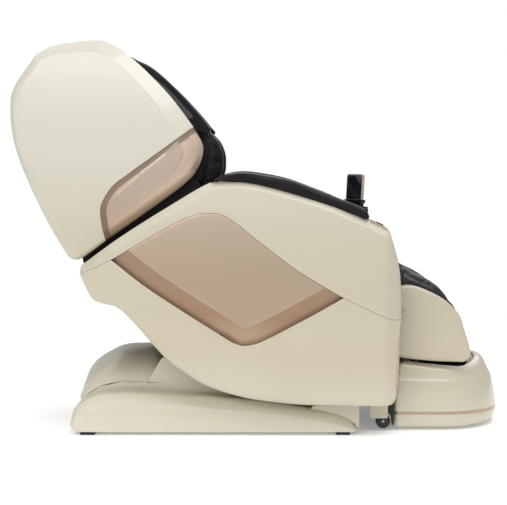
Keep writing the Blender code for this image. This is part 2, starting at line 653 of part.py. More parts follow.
def back_frame():
    frame = back_slab("back_frame", (0.405, 0.985), (-0.115, -0.110), (-0.250, 0.250), "steel")
    hanger = [back(*p) for p in ((-0.028, -0.018), (-0.028, 0.020), (0.100, 0.040), (0.300, 0.055),
                                 (0.370, 0.055), (0.470, -0.060), (0.490, -0.112), (0.415, -0.112),
                                 (0.400, -0.045), (0.330, 0.010), (0.150, 0.006), (0.030, -0.014))]
    hangers = pair("back_hanger", lambda n, s: slab(n, hanger, s * 0.206, s * 0.226))
    pins = pair("back_pin", lambda n, s: cross_rod(n, BACK_PIVOT, s * 0.176, s * 0.216, 0.009))
    rails = pair("mechanism_rail", lambda n, s: back_slab(
        n, (0.388, 0.975), (-0.112, -0.035), sorted((s * 0.155, s * 0.170))))
    hooks = pair("shell_stay", lambda n, s: back_slab(
        n, (0.560, 0.620), (-0.150, -0.112), sorted((s * 0.080, s * 0.110))))
    bearings = [back_slab(f"screw_end_{i}", (u, u + 0.012), (-0.112, -0.066), (-0.014, 0.014))
                for i, u in enumerate((0.412, 0.950))]
    join(frame, *hangers, *pins, *rails, *hooks, *bearings)
    cut(frame, rod("screw_end_bore", screw_spot(0.28), screw_spot(1.0), 0.0065))


def screw_spot(u):
    x, z = back(u, SCREW_V)
    return (x, 0.0, z)


def back_shell():
    """The rear cover, crowned across its width, between the wings."""
    outer = run(WING_REAR, 0.07)[:-1] + run(WING_CROWN[:4], 0.06)
    rings = []
    count = 8
    for i in range(count + 1):
        y = (WING_IN - 0.001) * (2 * i / count - 1)
        crown = BACK_CROWN * (1 - (y / WING_IN) ** 2)
        skin = [p + Vector((-crown * min(1, max(0, (1.25 - p.y) / 0.25)), 0)) for p in outer]
        band = skin + [skin[-1] + Vector((0.004, -0.012))]
        lining = inset(skin + [Vector((-0.40, 0.9))], [0.012] * (len(skin) + 1))[:-1]
        band += lining[-2:0:-1] + [skin[0] + Vector((0.016, 0.002))]
        rings.append(at_y(band, y))
    loft("back_shell", rings, "cream_shell")


def wings(side, sign):
    shell = loop((WING_REAR, 0.022), (WING_CROWN, 0.055), (WING_SPLIT[::-1], 0.003),
                 (WING_FOOT, 0.008), step=0.04)
    insert = loop((WING_NOSE, 0.016), (WING_SPLIT, 0.003), step=0.04)
    shell_hollow = [(-0.560, 0.600), (-0.705, 0.900), (-0.712, 1.030), (-0.640, 1.140),
                    (-0.520, 1.175), (-0.430, 1.150), (-0.320, 1.050), (-0.265, 0.960),
                    (-0.420, 0.830), (-0.510, 0.730)]
    insert_hollow = [(-0.440, 0.690), (-0.400, 0.760), (-0.220, 0.895), (-0.205, 0.850),
                     (-0.260, 0.785)]
    pieces = (("wing", shell, WING_OUT, 0.032, 4, "cream_shell", shell_hollow, 0.338),
              ("wing_insert", insert, WING_OUT - 0.003, 0.014, 3, "bronze_trim", insert_hollow, 0.352))
    for name, shape, out, depth, steps, finish, hollow, reach in pieces:
        part = panel(f"{name}_{side}", (shrink(shape[0], SEAM), shape[1]), sign * WING_IN,
                     sign * out, depth, finish, steps)
        cut(part, slab(f"{name}_hollow_{side}", hollow, sign * 0.28, sign * reach))


def hood_liner():
    """The lining of the wings' inner sides, carried across the top of the back."""
    cheek = [(-0.375, 1.166), (-0.327, 1.140), (-0.286, 1.115), (-0.238, 1.064), (-0.190, 1.013),
             (-0.183, 0.930), (-0.190, 0.860), (-0.250, 0.790), (-0.440, 0.652), (-0.545, 0.592),
             (-0.690, 0.880), (-0.712, 1.020), (-0.690, 1.095), (-0.600, 1.172), (-0.495, 1.190)]
    arch = [(-0.375, 1.164), (-0.400, 1.178), (-0.440, 1.196), (-0.500, 1.198), (-0.500, 1.176),
            (-0.440, 1.150), (-0.410, 1.135)]
    liner = slab("hood_liner", arch, -0.270, 0.270, "gloss_black")
    join(liner, *pair("liner_cheek", lambda n, s: slab(n, cheek, s * 0.262, s * (WING_IN - 0.001))))


def shoulder_pad(side, sign):
    side_view = [(-0.200, 1.000), (-0.149, 0.962), (-0.111, 0.911), (-0.098, 0.860),
                 (-0.101, 0.810), (-0.135, 0.765), (-0.215, 0.745), (-0.300, 0.810),
                 (-0.340, 0.900), (-0.305, 0.980)]
    outline, _ = loop((side_view + side_view[:1], 0.0), step=0.05)
    rings = [at_y(shrink(outline, w), sign * y) for w, y in (
        (0.018, 0.196), (0.004, 0.206), (0.0, 0.220), (0.0, 0.250), (0.004, 0.2610))]
    loft(f"shoulder_pad_{side}", rings, "leather")


def back_pad():
    """The cushion over the massage carriage; it narrows between the shoulder pads."""
    rings = []
    for u, front, half in ((0.235, 0.115, 0.240), (0.250, 0.130, 0.252), (0.420, 0.135, 0.254),
                           (0.500, 0.132, 0.186), (0.780, 0.118, 0.184), (0.970, 0.098, 0.184),
                           (0.985, 0.088, 0.170)):
        ring = []
        for y, v in ((-half, 0.062), (-half, front - 0.018), (-half + 0.022, front),
                     (half - 0.022, front), (half, front - 0.018), (half, 0.062)):
            x, z = back(u, v)
            ring.append((x, y, z))
        rings.append(ring)
    loft("back_pad", rings, "leather")


def head_pillow():
    rings = []
    for u, rear, front in ((0.735, 0.130, 0.150), (0.750, 0.124, 0.170), (0.830, 0.122, 0.178),
                           (0.905, 0.122, 0.168), (0.918, 0.124, 0.148)):
        ring = []
        for y, v in ((-0.150, rear + 0.008), (-0.130, front), (0.130, front), (0.150, rear + 0.008),
                     (0.145, rear), (-0.145, rear)):
            x, z = back(u, v)
            ring.append((x, y, z))
        rings.append(ring)
    loft("head_pillow", rings, "leather")


# ---------------------------------------------------------------- massage mechanism

def massage_carriage():
    body = back_slab("massage_carriage", (0.455, 0.585), (-0.060, -0.030), (-0.145, 0.145),
                     "motor_case")
    motor = back_slab("knead_motor", (0.490, 0.550), (-0.034, 0.010), (-0.035, 0.035))
    shoes = pair("guide_shoe", lambda n, s: back_slab(
        n, (0.470, 0.570), (-0.075, -0.040), sorted((s * 0.138, s * 0.1545))))
    nuts = pair("screw_nut", lambda n, s: back_slab(
        n, (0.505, 0.535), (-0.102, -0.055), sorted((s * 0.0085, s * 0.020))))
    pins = pair("knead_pin", lambda n, s: cross_rod(
        n, back(*KNEAD_PIVOT), s * 0.030, s * 0.092, 0.008, facets=12))
    join(body, motor, *shoes, *nuts, *pins)


def knead_arm(side, sign):
    plate = [back(*p) for p in ((0.505, -0.018), (0.535, -0.018), (0.590, 0.012), (0.590, 0.040),
                                (0.565, 0.040), (0.535, 0.016), (0.505, 0.016), (0.475, 0.040),
                                (0.450, 0.040), (0.450, 0.012))]
    arm = slab(f"knead_arm_{side}", plate, sign * 0.078, sign * 0.088, "steel")
    stubs = [cross_rod(f"roller_stub_{side}_{name}", back(u, v), sign * 0.052, sign * 0.084, 0.006,
                       facets=10) for name, u, v in ROLLER_SPOTS]
    join(arm, *stubs)
    cut(arm, cross_rod(f"knead_bore_{side}", back(*KNEAD_PIVOT), sign * 0.07, sign * 0.10, 0.0085,
                       facets=12))
    for name, u, v in ROLLER_SPOTS:
        with moving(f"roller_{side}_{name}", on_axis(back(u, v), sign * 0.064)):
            massage_roller(f"{side}_{name}", back(u, v), sign)


def massage_roller(name, centre, sign):
    roller = cross_rod(f"massage_roller_{name}", centre, sign * 0.050, sign * 0.0775, ROLLER_R,
                       "roller")
    round_edges(roller, 0.006, 2)
    cut(roller, cross_rod(f"roller_bore_{name}", centre, sign * 0.04, sign * 0.09, 0.0065,
                          facets=10))


def lift_screw():
    screw = rod("lift_screw", screw_spot(0.405), screw_spot(0.985), 0.006, "steel", 12)
    join(screw, rod("screw_pulley", screw_spot(0.974), screw_spot(0.992), 0.019))


# ---------------------------------------------------------------- leg rest

def leg_point(down, out):
    """(x, z) at a distance down the leg rest from its hinge and out in front of it."""
    sin, cos = math.sin(LEG_LEAN), math.cos(LEG_LEAN)
    return (LEG_PIVOT[0] + sin * down + cos * out, LEG_PIVOT[1] - cos * down + sin * out)


def leg_slab(name, down, out, y, finish=None):
    corners = ((down[0], out[0]), (down[1], out[0]), (down[1], out[1]), (down[0], out[1]))
    return slab(name, [leg_point(*c) for c in corners], y[0], y[1], finish)


def leg_rod(name, down, out, y, radius, finish=None):
    (x0, z0), (x1, z1) = leg_point(down[0], out), leg_point(down[1], out)
    return rod(name, (x0, y, z0), (x1, y, z1), radius, finish)


def leg_frame():
    frame = leg_slab("leg_frame", (0.020, 0.235), (-0.010, -0.004), (-0.205, 0.205), "steel")
    hinge = [leg_point(*p) for p in ((-0.014, -0.012), (-0.014, 0.012), (0.080, 0.010),
                                     (0.080, -0.028), (0.050, -0.028))]
    plates = pair("leg_hinge", lambda n, s: slab(n, hinge, s * 0.2615, s * 0.2675))
    pins = pair("leg_pin", lambda n, s: cross_rod(n, LEG_PIVOT, s * 0.264, s * 0.2805, 0.008))
    tube = cross_rod("leg_tube", leg_point(*LEG_TUBE), -0.265, 0.265, 0.010)
    sleeves = pair("foot_sleeve", lambda n, s: leg_slab(
        n, (0.185, 0.232), (-0.036, -0.006), sorted((s * 0.187, s * 0.213))))
    lug = [leg_point(*p) for p in ((0.020, -0.006), (0.036, -0.054), (0.048, -0.058),
                                   (0.054, -0.048), (0.090, -0.006))]
    join(frame, tube, *plates, *pins, *sleeves, slab("lift_head_lug", lug, -0.110, -0.090))
    bore = GUIDE_R + 0.0005
    cut(frame, *pair("sleeve_bore", lambda n, s: leg_rod(n, (0.15, 0.26), GUIDE_OUT, s * GUIDE_Y, bore)))


def calf_shell(side, sign):
    shape = loop((CALF_TOP, 0.012), (CALF_BOTTOM, 0.010), ([CALF_BOTTOM[-1], CALF_TOP[0]], 0.004))
    shell = panel(f"calf_shell_{side}", shape, sign * 0.2152, sign * CALF_HALF, 0.012,
                  "cream_shell")
    hollow = [(0.445, 0.432), (0.510, 0.436), (0.580, 0.404), (0.625, 0.360), (0.655, 0.260),
              (0.640, 0.235), (0.470, 0.248), (0.448, 0.290)]
    cut(shell, slab(f"calf_hollow_{side}", hollow, sign * 0.20, sign * 0.248),
        cross_rod(f"leg_tube_hole_{side}", leg_point(*LEG_TUBE), sign * 0.19, sign * 0.30,
                  0.0108))


def calf_cushion():
    """Two calf channels: a floor, a ridge between them and a wall on each side."""
    floor = [leg_point(*p) for p in ((-0.015, -0.003), (0.238, -0.003), (0.238, 0.045),
                                     (0.020, 0.045), (-0.015, 0.030))]
    wall = [leg_point(0.005, 0.0), (0.448, 0.500), (0.469, 0.521), (0.502, 0.502), (0.539, 0.484),
            (0.581, 0.455), (0.609, 0.422), (0.638, 0.384), (0.652, 0.330), (0.660, 0.262),
            (0.640, 0.238), leg_point(0.236, 0.0)]
    ridge = [leg_point(0.010, 0.0), (0.462, 0.492), (0.520, 0.468), (0.575, 0.420), (0.605, 0.350),
             (0.610, 0.260), leg_point(0.236, 0.010)]
    cushion = slab("calf_cushion", floor, -0.205, 0.205, "leather")
    walls = pair("calf_wall", lambda n, s: slab(
        n, [Vector(p) for p in wall], s * 0.172, s * 0.2147))
    join(cushion, slab("calf_ridge", ridge, -0.022, 0.022), *walls)


# ---------------------------------------------------------------- foot rest

def foot_ring(z, grow, rise=0.0):
    """Plan outline of the foot rest at a height: square heel, rounded toe."""
    heel, side_end = 0.437 - grow, 0.640
    toe = TOE + grow - 0.30 * max(0.0, z - 0.060) ** 1.35
    half = FOOT_HALF + grow - 0.06 * max(0.0, z - 0.02)
    plan = [(heel, -half + 0.03), (heel + 0.008, -half + 0.008), (heel + 0.03, -half)]
    for i in range(13):
        turn = -math.pi / 2 + math.pi * i / 12
        x = side_end + (toe - side_end) * abs(math.cos(turn)) ** 0.72
        y = half * math.copysign(abs(math.sin(turn)) ** 0.72, math.sin(turn))
        plan.append((x, y))
    plan += [(heel + 0.03, half), (heel + 0.008, half - 0.008), (heel, half - 0.03)]
    return [(x, y, z + rise * foot_rise(x, y)) for x, y in plan]


def foot_rise(x, y):
    """How far the rim climbs: a little at the heel, more over the toes."""
    toe = max(0.0, (x - 0.600) / 0.150)
    middle = max(0.0, 1 - (y / 0.300) ** 2)
    heel = max(0.0, (0.560 - x) / 0.120)
    return 0.056 * min(1.0, toe) ** 2 * middle + 0.018 * min(1.0, heel)


def foot_shells():
    lower = loft("foot_lower_shell", [foot_ring(z, g) for z, g in (
        (0.010, -0.012), (0.014, -0.004), (0.024, 0.0), (0.0500, 0.0))], "cream_shell")
    rods = pair("foot_guide", lambda n, s: leg_rod(n, (0.085, 0.466), GUIDE_OUT, s * GUIDE_Y, GUIDE_R))
    cut(lower, loft("sole_well", [foot_ring(z, -0.055) for z in (0.024, 0.100)]))
    join(lower, *rods)
    upper = loft("foot_upper_shell", [foot_ring(z, g, r) for z, g, r in (
        (0.0585, 0.0, 0.0), (0.120, -0.002, 0.3), (0.180, -0.006, 0.9), (0.193, -0.014, 1.0),
        (0.195, -0.028, 1.0))], "cream_shell", bent=True)
    well = loft("shell_well", [foot_ring(z, g, r) for z, g, r in (
        (0.030, -0.034, 0.0), (0.120, -0.034, 0.3), (0.185, -0.038, 0.9), (0.300, -0.040, 1.0))],
        bent=True)
    cut(upper, well)
    join(lower, *pair("foot_key", lambda n, s: box(
        n, (0.560, 0.600), sorted((s * 0.246, s * 0.262)), (0.045, 0.0582))))


def foot_cushion():
    rings = [foot_ring(z, g, r) for z, g, r in (
        (0.0305, -0.062, 0.0), (0.0512, -0.060, 0.0), (0.0585, -0.037, 0.0), (0.182, -0.042, 0.88),
        (0.195, -0.050, 1.0))]
    cushion = loft("foot_cushion", rings, "leather", bent=True)
    wells = []
    for side, sign in sides():
        wells.append(box(f"foot_well_{side}", (0.505, 0.715), sorted((sign * 0.028, sign * 0.1865)),
                         (0.063, 0.35)))
        round_edges(wells[-1], 0.02, 1)
    for name, x in FOOT_ROLLERS:
        with moving(f"foot_roller_{name}", (x, 0, FOOT_ROLLER_Z)):
            roller = cross_rod(f"foot_roller_{name}", (x, FOOT_ROLLER_Z), -0.180, 0.180, 0.0165,
                               "roller")
            round_edges(roller, 0.004, 1)
        cut(cushion, box(f"roller_trough_{name}", (x - 0.019, x + 0.019), (-0.184, 0.184),
                         (0.0365, 0.0760)))
    cut(cushion, *wells)
    cut(cushion, *pair("cushion_bore", lambda n, s: leg_rod(
        n, (0.20, 0.47), GUIDE_OUT, s * GUIDE_Y, GUIDE_R + 0.0025)))


# ---------------------------------------------------------------- assembly

def build():
    base_frame()
    base_skirt()
    base_rear_cover()
    floor_bars()
    transport_wheels()
    power_supply()
    with moving("carriage", (0, 0, 0.145)):
        slide_carriage()
        actuator("tilt_actuator", TILT_FOOT, TILT_HEAD, 0.0, 0.112)
        with moving("seat", on_axis(SEAT_PIVOT)):
            build_seat()
            with moving("backrest", on_axis(BACK_PIVOT)):
                build_back()
            with moving("legrest", on_axis(LEG_PIVOT)):
                build_leg_rest()


def build_seat():
    seat_frame()
    seat_cushion()
    air_pump()
    for side, sign in sides():
        arm_shells(side, sign)
        arm_pad(side, sign)
        arm_end_trim(side, sign)
    remote()
    actuator("leg_actuator", LIFT_FOOT, LIFT_HEAD, -0.100, 0.200)


def build_back():
    back_frame()
    back_shell()
    hood_liner()
    back_pad()
    for side, sign in sides():
        wings(side, sign)
        shoulder_pad(side, sign)
    with moving("pillow", on_axis(back(*PILLOW_PIVOT))):
        head_pillow()
    with moving("screw", screw_spot(0.405)):
        lift_screw()
    with moving("mechanism", on_axis(back(*KNEAD_PIVOT))):
        massage_carriage()
        for side, sign in sides():
            with moving(f"knead_{side}", on_axis(back(*KNEAD_PIVOT), sign * 0.083)):
                knead_arm(side, sign)


def build_leg_rest():
    leg_frame()
    calf_cushion()
    for side, sign in sides():
        calf_shell(side, sign)
    with moving("foot", on_axis(leg_point(0.209, GUIDE_OUT))):
        foot_shells()
        foot_cushion()


build()
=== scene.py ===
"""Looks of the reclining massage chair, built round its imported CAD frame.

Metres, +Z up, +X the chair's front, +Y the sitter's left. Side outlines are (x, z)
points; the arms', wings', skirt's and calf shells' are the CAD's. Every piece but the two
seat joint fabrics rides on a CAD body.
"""
import math

import bmesh
import bpy
import numpy as np
from mathutils import Matrix, Vector
from mathutils.bvhtree import BVHTree
from mathutils.geometry import delaunay_2d_cdt


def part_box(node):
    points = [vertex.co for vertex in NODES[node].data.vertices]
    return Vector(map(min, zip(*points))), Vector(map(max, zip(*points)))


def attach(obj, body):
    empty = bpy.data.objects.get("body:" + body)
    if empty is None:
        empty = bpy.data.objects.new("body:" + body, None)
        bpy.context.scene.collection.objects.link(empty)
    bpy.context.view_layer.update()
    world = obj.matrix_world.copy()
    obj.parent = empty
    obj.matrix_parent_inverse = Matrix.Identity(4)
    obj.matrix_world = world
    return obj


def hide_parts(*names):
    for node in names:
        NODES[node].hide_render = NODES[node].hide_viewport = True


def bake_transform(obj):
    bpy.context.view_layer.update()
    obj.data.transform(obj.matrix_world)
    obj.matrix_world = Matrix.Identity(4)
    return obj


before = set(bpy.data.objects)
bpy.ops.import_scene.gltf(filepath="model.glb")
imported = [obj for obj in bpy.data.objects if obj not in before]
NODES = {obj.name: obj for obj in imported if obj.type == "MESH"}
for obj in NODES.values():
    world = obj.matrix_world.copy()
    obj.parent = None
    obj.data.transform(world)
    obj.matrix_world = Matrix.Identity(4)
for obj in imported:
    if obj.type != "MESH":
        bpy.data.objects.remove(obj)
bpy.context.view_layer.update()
SIDES = (("left", 1), ("right", -1))



def mm(*points):
    """Outline points given in millimetres."""
    return [(x / 1000, z / 1000) for x, z in points]


ARM_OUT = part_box("arm_upper_shell_left")[1].y
ARM_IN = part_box("arm_upper_shell_left")[0].y
WING_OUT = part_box("wing_left")[1].y
WING_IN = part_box("wing_left")[0].y
BACK_LEAN = math.radians(20)
BACK_PIVOT = (-0.236, 0.197)
LEG_LEAN = math.radians(22)
LEG_PIVOT = (0.433, 0.463)
SEAM = 0.0005  # half the gap left between neighbouring shells
ARM_LINING_Y = 0.2838  # inner face of the arms' black lining
DOME_HALF = 0.272
HOOD_HALF = 0.2655
SHADED_BAND_WIDTH = 0.056  # band along the lower edge of the arm's insert, sloping in and painted darker as painted shade
ROW_SPACING = 0.866  # between the rows of a net of even triangles
GROOVE_Y, GROOVE_DEPTH, GROOVE_WIDTH = 0.175, 0.0022, 0.004  # the back shell's panel lines
VENT_SINK = 0.0022
DOME_REACH = 0.018  # how far the rear cover's middle stands behind its sides
LOUVRE_LIFT, LATCH_SINK = 0.0006, 0.0035
STITCH_LIFT, STITCH_RADIUS = 0.0003, 0.0007

ARM_TOP = mm((-538, 530), (-413, 620), (-264, 714), (-142, 784), (-80, 793), (12, 785), (204, 730),
             (319, 682), (409, 639))
ARM_FRONT_UPPER = mm((409, 639), (438, 537), (447, 455), (449, 363))
ARM_FRONT_LOWER = mm((449, 363), (443, 309), (436, 150), (427, 107), (401, 96))
ARM_BOTTOM = mm((401, 96), (173, 100), (52, 110), (-49, 127), (-152, 161), (-219, 202), (-280, 249),
                (-358, 337), (-420, 400), (-474, 416), (-503, 430), (-526, 470), (-541, 503))
ARM_REAR = mm((-541, 503), (-538, 530))
PARTING_FRONT = mm((449, 363), (407, 369), (316, 410), (268, 433))
DIAMOND_TOP = mm((268, 433), (198, 473), (116, 524), (8, 606), (-58, 658), (-100, 685), (-144, 692),
                 (-198, 682), (-274, 647), (-442, 549))
DIAMOND_BOTTOM = mm((268, 433), (170, 378), (35, 307), (-14, 289), (-52, 289), (-111, 321),
                    (-318, 454), (-442, 549))
PARTING_REAR = mm((-442, 549), (-541, 503))
ARM_PAD_TOP = mm((-125, 795), (-98, 806), (-48, 813), (13, 807), (109, 788), (206, 753), (262, 731))
PAD_NOSE = {"left": mm((285, 718), (298, 698)),
            "right": mm((300, 716), (335, 699), (350, 676))}

WING_REAR = mm((-583, 556), (-632, 639), (-703, 786), (-746, 909), (-757, 1015), (-743, 1081),
               (-675, 1179))
WING_CROWN = mm((-675, 1179), (-630, 1202), (-574, 1213), (-510, 1220), (-463, 1217),
                (-396, 1179), (-316, 1106), (-255, 1039), (-192, 955))
WING_NOSE = mm((-192, 955), (-163, 891), (-181, 826), (-227, 774), (-353, 682), (-463, 605))
WING_FOOT = mm((-463, 605), (-537, 551), (-565, 546), (-583, 556))
WING_SPLIT = mm((-463, 605), (-474, 654), (-476, 713), (-442, 771), (-387, 814), (-256, 908),
                (-192, 955))
INSERT_PLATE = mm((-242, 912), (-224, 885), (-227, 854), (-258, 811), (-325, 759), (-387, 713),
                  (-451, 667), (-454, 685), (-448, 731), (-417, 762), (-360, 812), (-290, 868))

SKIRT_LEDGE = mm((-560, 88), (-495, 123), (-421, 133), (-297, 129), (-18, 108), (136, 86),
                 (229, 68), (291, 46), (318, 22))
SKIRT_CREASE = mm((-556, 54), (-511, 82), (-449, 95), (-357, 94), (-18, 72), (136, 54), (229, 40),
                  (285, 28), (318, 19))
DOME_SEAT = mm((-346, 153), (-427, 156), (-492, 141), (-554, 103))
DOME_TOP = mm((-554, 103), (-529, 171), (-486, 220), (-424, 269), (-357, 291), (-315, 290),
              (-296, 262), (-296, 232))

# how high the rear cover's middle stands against DOME_TOP, along x
DOME_CROWN = (-0.53, -0.486, -0.455, -0.424, -0.39, -0.357), (1.1, 0.97, 0.86, 0.765, 0.7, 0.665)

CALF_TOP = mm((405, 405), (420, 440), (460, 456), (510, 454), (590, 417), (638, 371), (654, 335),
              (679, 251), (674, 224), (655, 214))
CALF_BOTTOM = mm((655, 214), (550, 219), (450, 231), (425, 250))
CALF_REAR = mm((425, 250), (405, 405))
CALF_WALL = mm((448, 500), (469, 521), (502, 502), (539, 484), (581, 455), (609, 422), (638, 384),
               (652, 330), (660, 262))

HOOD_FRONT = mm((-375, 1166), (-327, 1143), (-283, 1108), (-238, 1064), (-192, 1014),
                (-149, 962), (-140, 950), (-147, 938), (-188, 938), (-204, 890), (-218, 840),
                (-250, 790))
HOOD_REST = mm((-250, 790), (-440, 652), (-545, 592), (-690, 880), (-712, 1020), (-690, 1095),
               (-600, 1172), (-495, 1190), (-375, 1166))
GRILLE = mm((-333, 1118), (-300, 1096), (-262, 1063), (-222, 1019), (-196, 989), (-214, 986),
            (-262, 1030), (-310, 1084))
SHOULDER = mm((-195, 960), (-155, 953), (-119, 921), (-101, 879), (-98, 848), (-103, 805),
              (-135, 765), (-215, 745), (-300, 810), (-340, 900), (-300, 950))
SHOULDER_SEAM = mm((-182, 944), (-148, 912), (-142, 870), (-156, 800), (-172, 760))


# ---------------------------------------------------------------- camera, light and floor

LENS, SENSOR = 111.7, 36  # mm
CAMERA_PLACE = (-0.0075, -5.2, 0.85)
CAMERA_DROP = 0.058  # radians below level
WORLD_LIGHT = 0.52
# name, place, what it points at, size, watts
SOFTBOXES = (("overhead", (0, 0.8, 3.8), (0, 0.8, 0), (7.5, 7.0), 130),
             ("base_light", (-0.9, -2.4, 1.5), (-0.3, -0.3, 0.1), (1.6, 0.5), 3),
             ("dome_light", (-2.3, -1.5, 0.9), (-0.42, 0, 0.2), (1.2, 0.7), 4),
             ("key", (1.0, -2.0, 3.4), (-0.3, -0.3, 0.8), (2.2, 1.2), 37),
             ("fill", (-1.2, -4.2, 2.5), (0, 0, 0.2), (3.0, 1.4), 48),
             ("back_light", (0.5, 3.4, 2.4), (0, 0, 0.7), (2.6, 2.0), 22))
FLOOR_RADIUS, FLOOR_SIDES = 3.2, 96


def camera():
    data = bpy.data.cameras.new("camera")
    data.lens = LENS
    data.sensor_width = SENSOR
    obj = new_object("camera", data)
    obj.location = CAMERA_PLACE
    obj.rotation_euler = (math.pi / 2 - CAMERA_DROP, 0, 0)
    bpy.context.scene.camera = obj


def softbox(name, place, aim, size, power):
    data = bpy.data.lights.new(name, "AREA")
    data.shape = "RECTANGLE"
    data.size, data.size_y = size
    data.energy = power
    obj = new_object(name, data)
    obj.location = place
    obj.rotation_euler = (Vector(aim) - Vector(place)).to_track_quat("-Z", "Y").to_euler()


def studio():
    """Soft white light all round, a background seen as white, and the floor."""
    bpy.context.scene.view_settings.view_transform = "Standard"
    for light in SOFTBOXES:
        softbox(*light)
    world = bpy.data.worlds.new("studio")
    world.use_nodes = True
    tree = world.node_tree
    lighting = tree.nodes["Background"]
    lighting.inputs["Color"].default_value = (1, 1, 1, 1)
    lighting.inputs["Strength"].default_value = WORLD_LIGHT
    seen = tree.nodes.new("ShaderNodeBackground")
    seen.inputs["Color"].default_value = (1, 1, 1, 1)
    choose = tree.nodes.new("ShaderNodeMixShader")
    tree.links.new(tree.nodes.new("ShaderNodeLightPath").outputs["Is Camera Ray"],
                   choose.inputs[0])
    tree.links.new(lighting.outputs[0], choose.inputs[1])
    tree.links.new(seen.outputs[0], choose.inputs[2])
    tree.links.new(choose.outputs[0], tree.nodes["World Output"].inputs["Surface"])
    bpy.context.scene.world = world
    turns = [2 * math.pi * i / FLOOR_SIDES for i in range(FLOOR_SIDES)]
    floor = mesh_object("floor", [(FLOOR_RADIUS * math.cos(t), FLOOR_RADIUS * math.sin(t), 0)
                                  for t in turns], [tuple(range(FLOOR_SIDES))])
    floor.data.materials.append(FLOOR)


# ---------------------------------------------------------------- materials

class Nodes:
    """A material being wired up."""

    def __init__(self, name, colour, roughness, metallic=0.0, **sockets):
        self.material = bpy.data.materials.new(name)
        self.material.use_nodes = True
        self.tree = self.material.node_tree
        self.shader = self.tree.nodes["Principled BSDF"]
        self.shader.inputs["Base Color"].default_value = (*colour, 1)
        self.shader.inputs["Roughness"].default_value = roughness
        self.shader.inputs["Metallic"].default_value = metallic
        for socket, value in sockets.items():
            self.shader.inputs[socket.replace("_", " ")].default_value = value
        self.place = self.tree.nodes.new("ShaderNodeTexCoord").outputs["Object"]

    def add(self, kind, **values):
        node = self.tree.nodes.new(kind)
        for key, value in values.items():
            if key.replace("_", " ") in node.inputs:
                node.inputs[key.replace("_", " ")].default_value = value
            else:
                setattr(node, key, value)
        return node

    def link(self, out, into):
        self.tree.links.new(out, into)

    def noise(self, scale, detail=3.0, rough=0.55):
        node = self.add("ShaderNodeTexNoise", Scale=scale, Detail=detail, Roughness=rough)
        self.link(self.place, node.inputs["Vector"])
        return node.outputs["Fac"]

    def cells(self, scale):
        node = self.add("ShaderNodeTexVoronoi", Scale=scale)
        self.link(self.place, node.inputs["Vector"])
        return node.outputs["Distance"]

    def ramp(self, fac, *stops):
        """A colour or grey ramp; each stop is (position, value or colour)."""
        node = self.add("ShaderNodeValToRGB")
        marks = node.color_ramp.elements
        while len(marks) < len(stops):
            marks.new(0.5)
        for mark, (position, value) in zip(marks, stops):
            mark.position = position
            mark.color = (*value, 1) if isinstance(value, tuple) else (value, value, value, 1)
        self.link(fac, node.inputs["Fac"])
        return node.outputs["Color"]

    def height(self, drift):
        """Height above the floor in metres, with some slow noise mixed in."""
        split = self.add("ShaderNodeSeparateXYZ")
        self.link(self.place, split.inputs[0])
        total = self.add("ShaderNodeMath", operation="MULTIPLY_ADD")
        self.link(self.noise(1.7, 2.0, 0.4), total.inputs[0])
        total.inputs[1].default_value = drift
        self.link(split.outputs["Z"], total.inputs[2])
        return total.outputs["Value"]

    def colour(self, out):
        self.link(out, self.shader.inputs["Base Color"])

    def roughness(self, out):
        self.link(out, self.shader.inputs["Roughness"])

    def bump(self, height, strength, distance, under=None):
        node = self.add("ShaderNodeBump", Strength=strength, Distance=distance)
        self.link(height, node.inputs["Height"])
        if under:
            self.link(under.outputs["Normal"], node.inputs["Normal"])
        self.link(node.outputs["Normal"], self.shader.inputs["Normal"])
        return node


def cream_shell():
    """Pearl ivory lacquer with orange peel and a clear coat; painted light ramps its colour with
    height, lighter low down where the arms shade the skirt, darker in the middle, lighter again at the
    top, with slow noise mixed in.
    """
    n = Nodes("cream_shell", (0.7, 0.63, 0.5), 0.34, Coat_Weight=0.45, Coat_Roughness=0.12)
    # painted light: the colour ramps with height, lighter low down against the arms' shade on the
    # skirt and lighter at the top
    n.colour(n.ramp(n.height(0.3), (0.16, (0.6, 0.57, 0.455)), (0.42, (0.49, 0.435, 0.325)),
                    (0.75, (0.495, 0.455, 0.35)), (1.05, (0.54, 0.515, 0.44))))
    n.roughness(n.ramp(n.noise(60.0), (0.3, 0.3), (0.7, 0.38)))
    peel = n.bump(n.noise(260.0, 2.0), 0.05, 0.001)
    n.bump(n.noise(9.0, 1.0), 0.03, 0.004, peel)
    return n.material


def bronze_trim(name, *shades):
    """Satin rose-gold paint with a fine metal flake, its tone ramped with height as painted light and
    shade.
    """
    n = Nodes(name, shades[0][1], 0.4, 0.55, Coat_Weight=0.25, Coat_Roughness=0.2)
    # painted light and shade: the colour ramps with height through the given shades
    n.colour(n.ramp(n.height(0.12), *shades))
    n.roughness(n.ramp(n.noise(900.0, 1.0), (0.3, 0.34), (0.7, 0.46)))
    n.bump(n.cells(1500.0), 0.05, 0.0005)
    return n.material


def leather(name="leather", shade=(0.0046, 0.0031, 0.0035), rough=(0.36, 0.52), shine=0.17,
            crumple=0.22):
    """Black-brown coated leather: pebbled grain, fine creases and worn, shinier patches."""
    n = Nodes(name, shade, 0.45, Specular_IOR_Level=shine, Coat_Weight=0.04, Coat_Roughness=0.3)
    light = tuple(c * 2.0 for c in shade)
    n.colour(n.ramp(n.noise(14.0, 5.0), (0.35, shade), (0.7, light)))
    n.roughness(n.ramp(n.noise(22.0, 4.0), (0.3, rough[0]), (0.72, rough[1])))
    creases = n.bump(n.noise(75.0, 6.0, 0.65), crumple, 0.0016)
    n.bump(n.ramp(n.cells(620.0), (0.0, 0.0), (0.55, 1.0)), 0.35, 0.0007, creases)
    return n.material


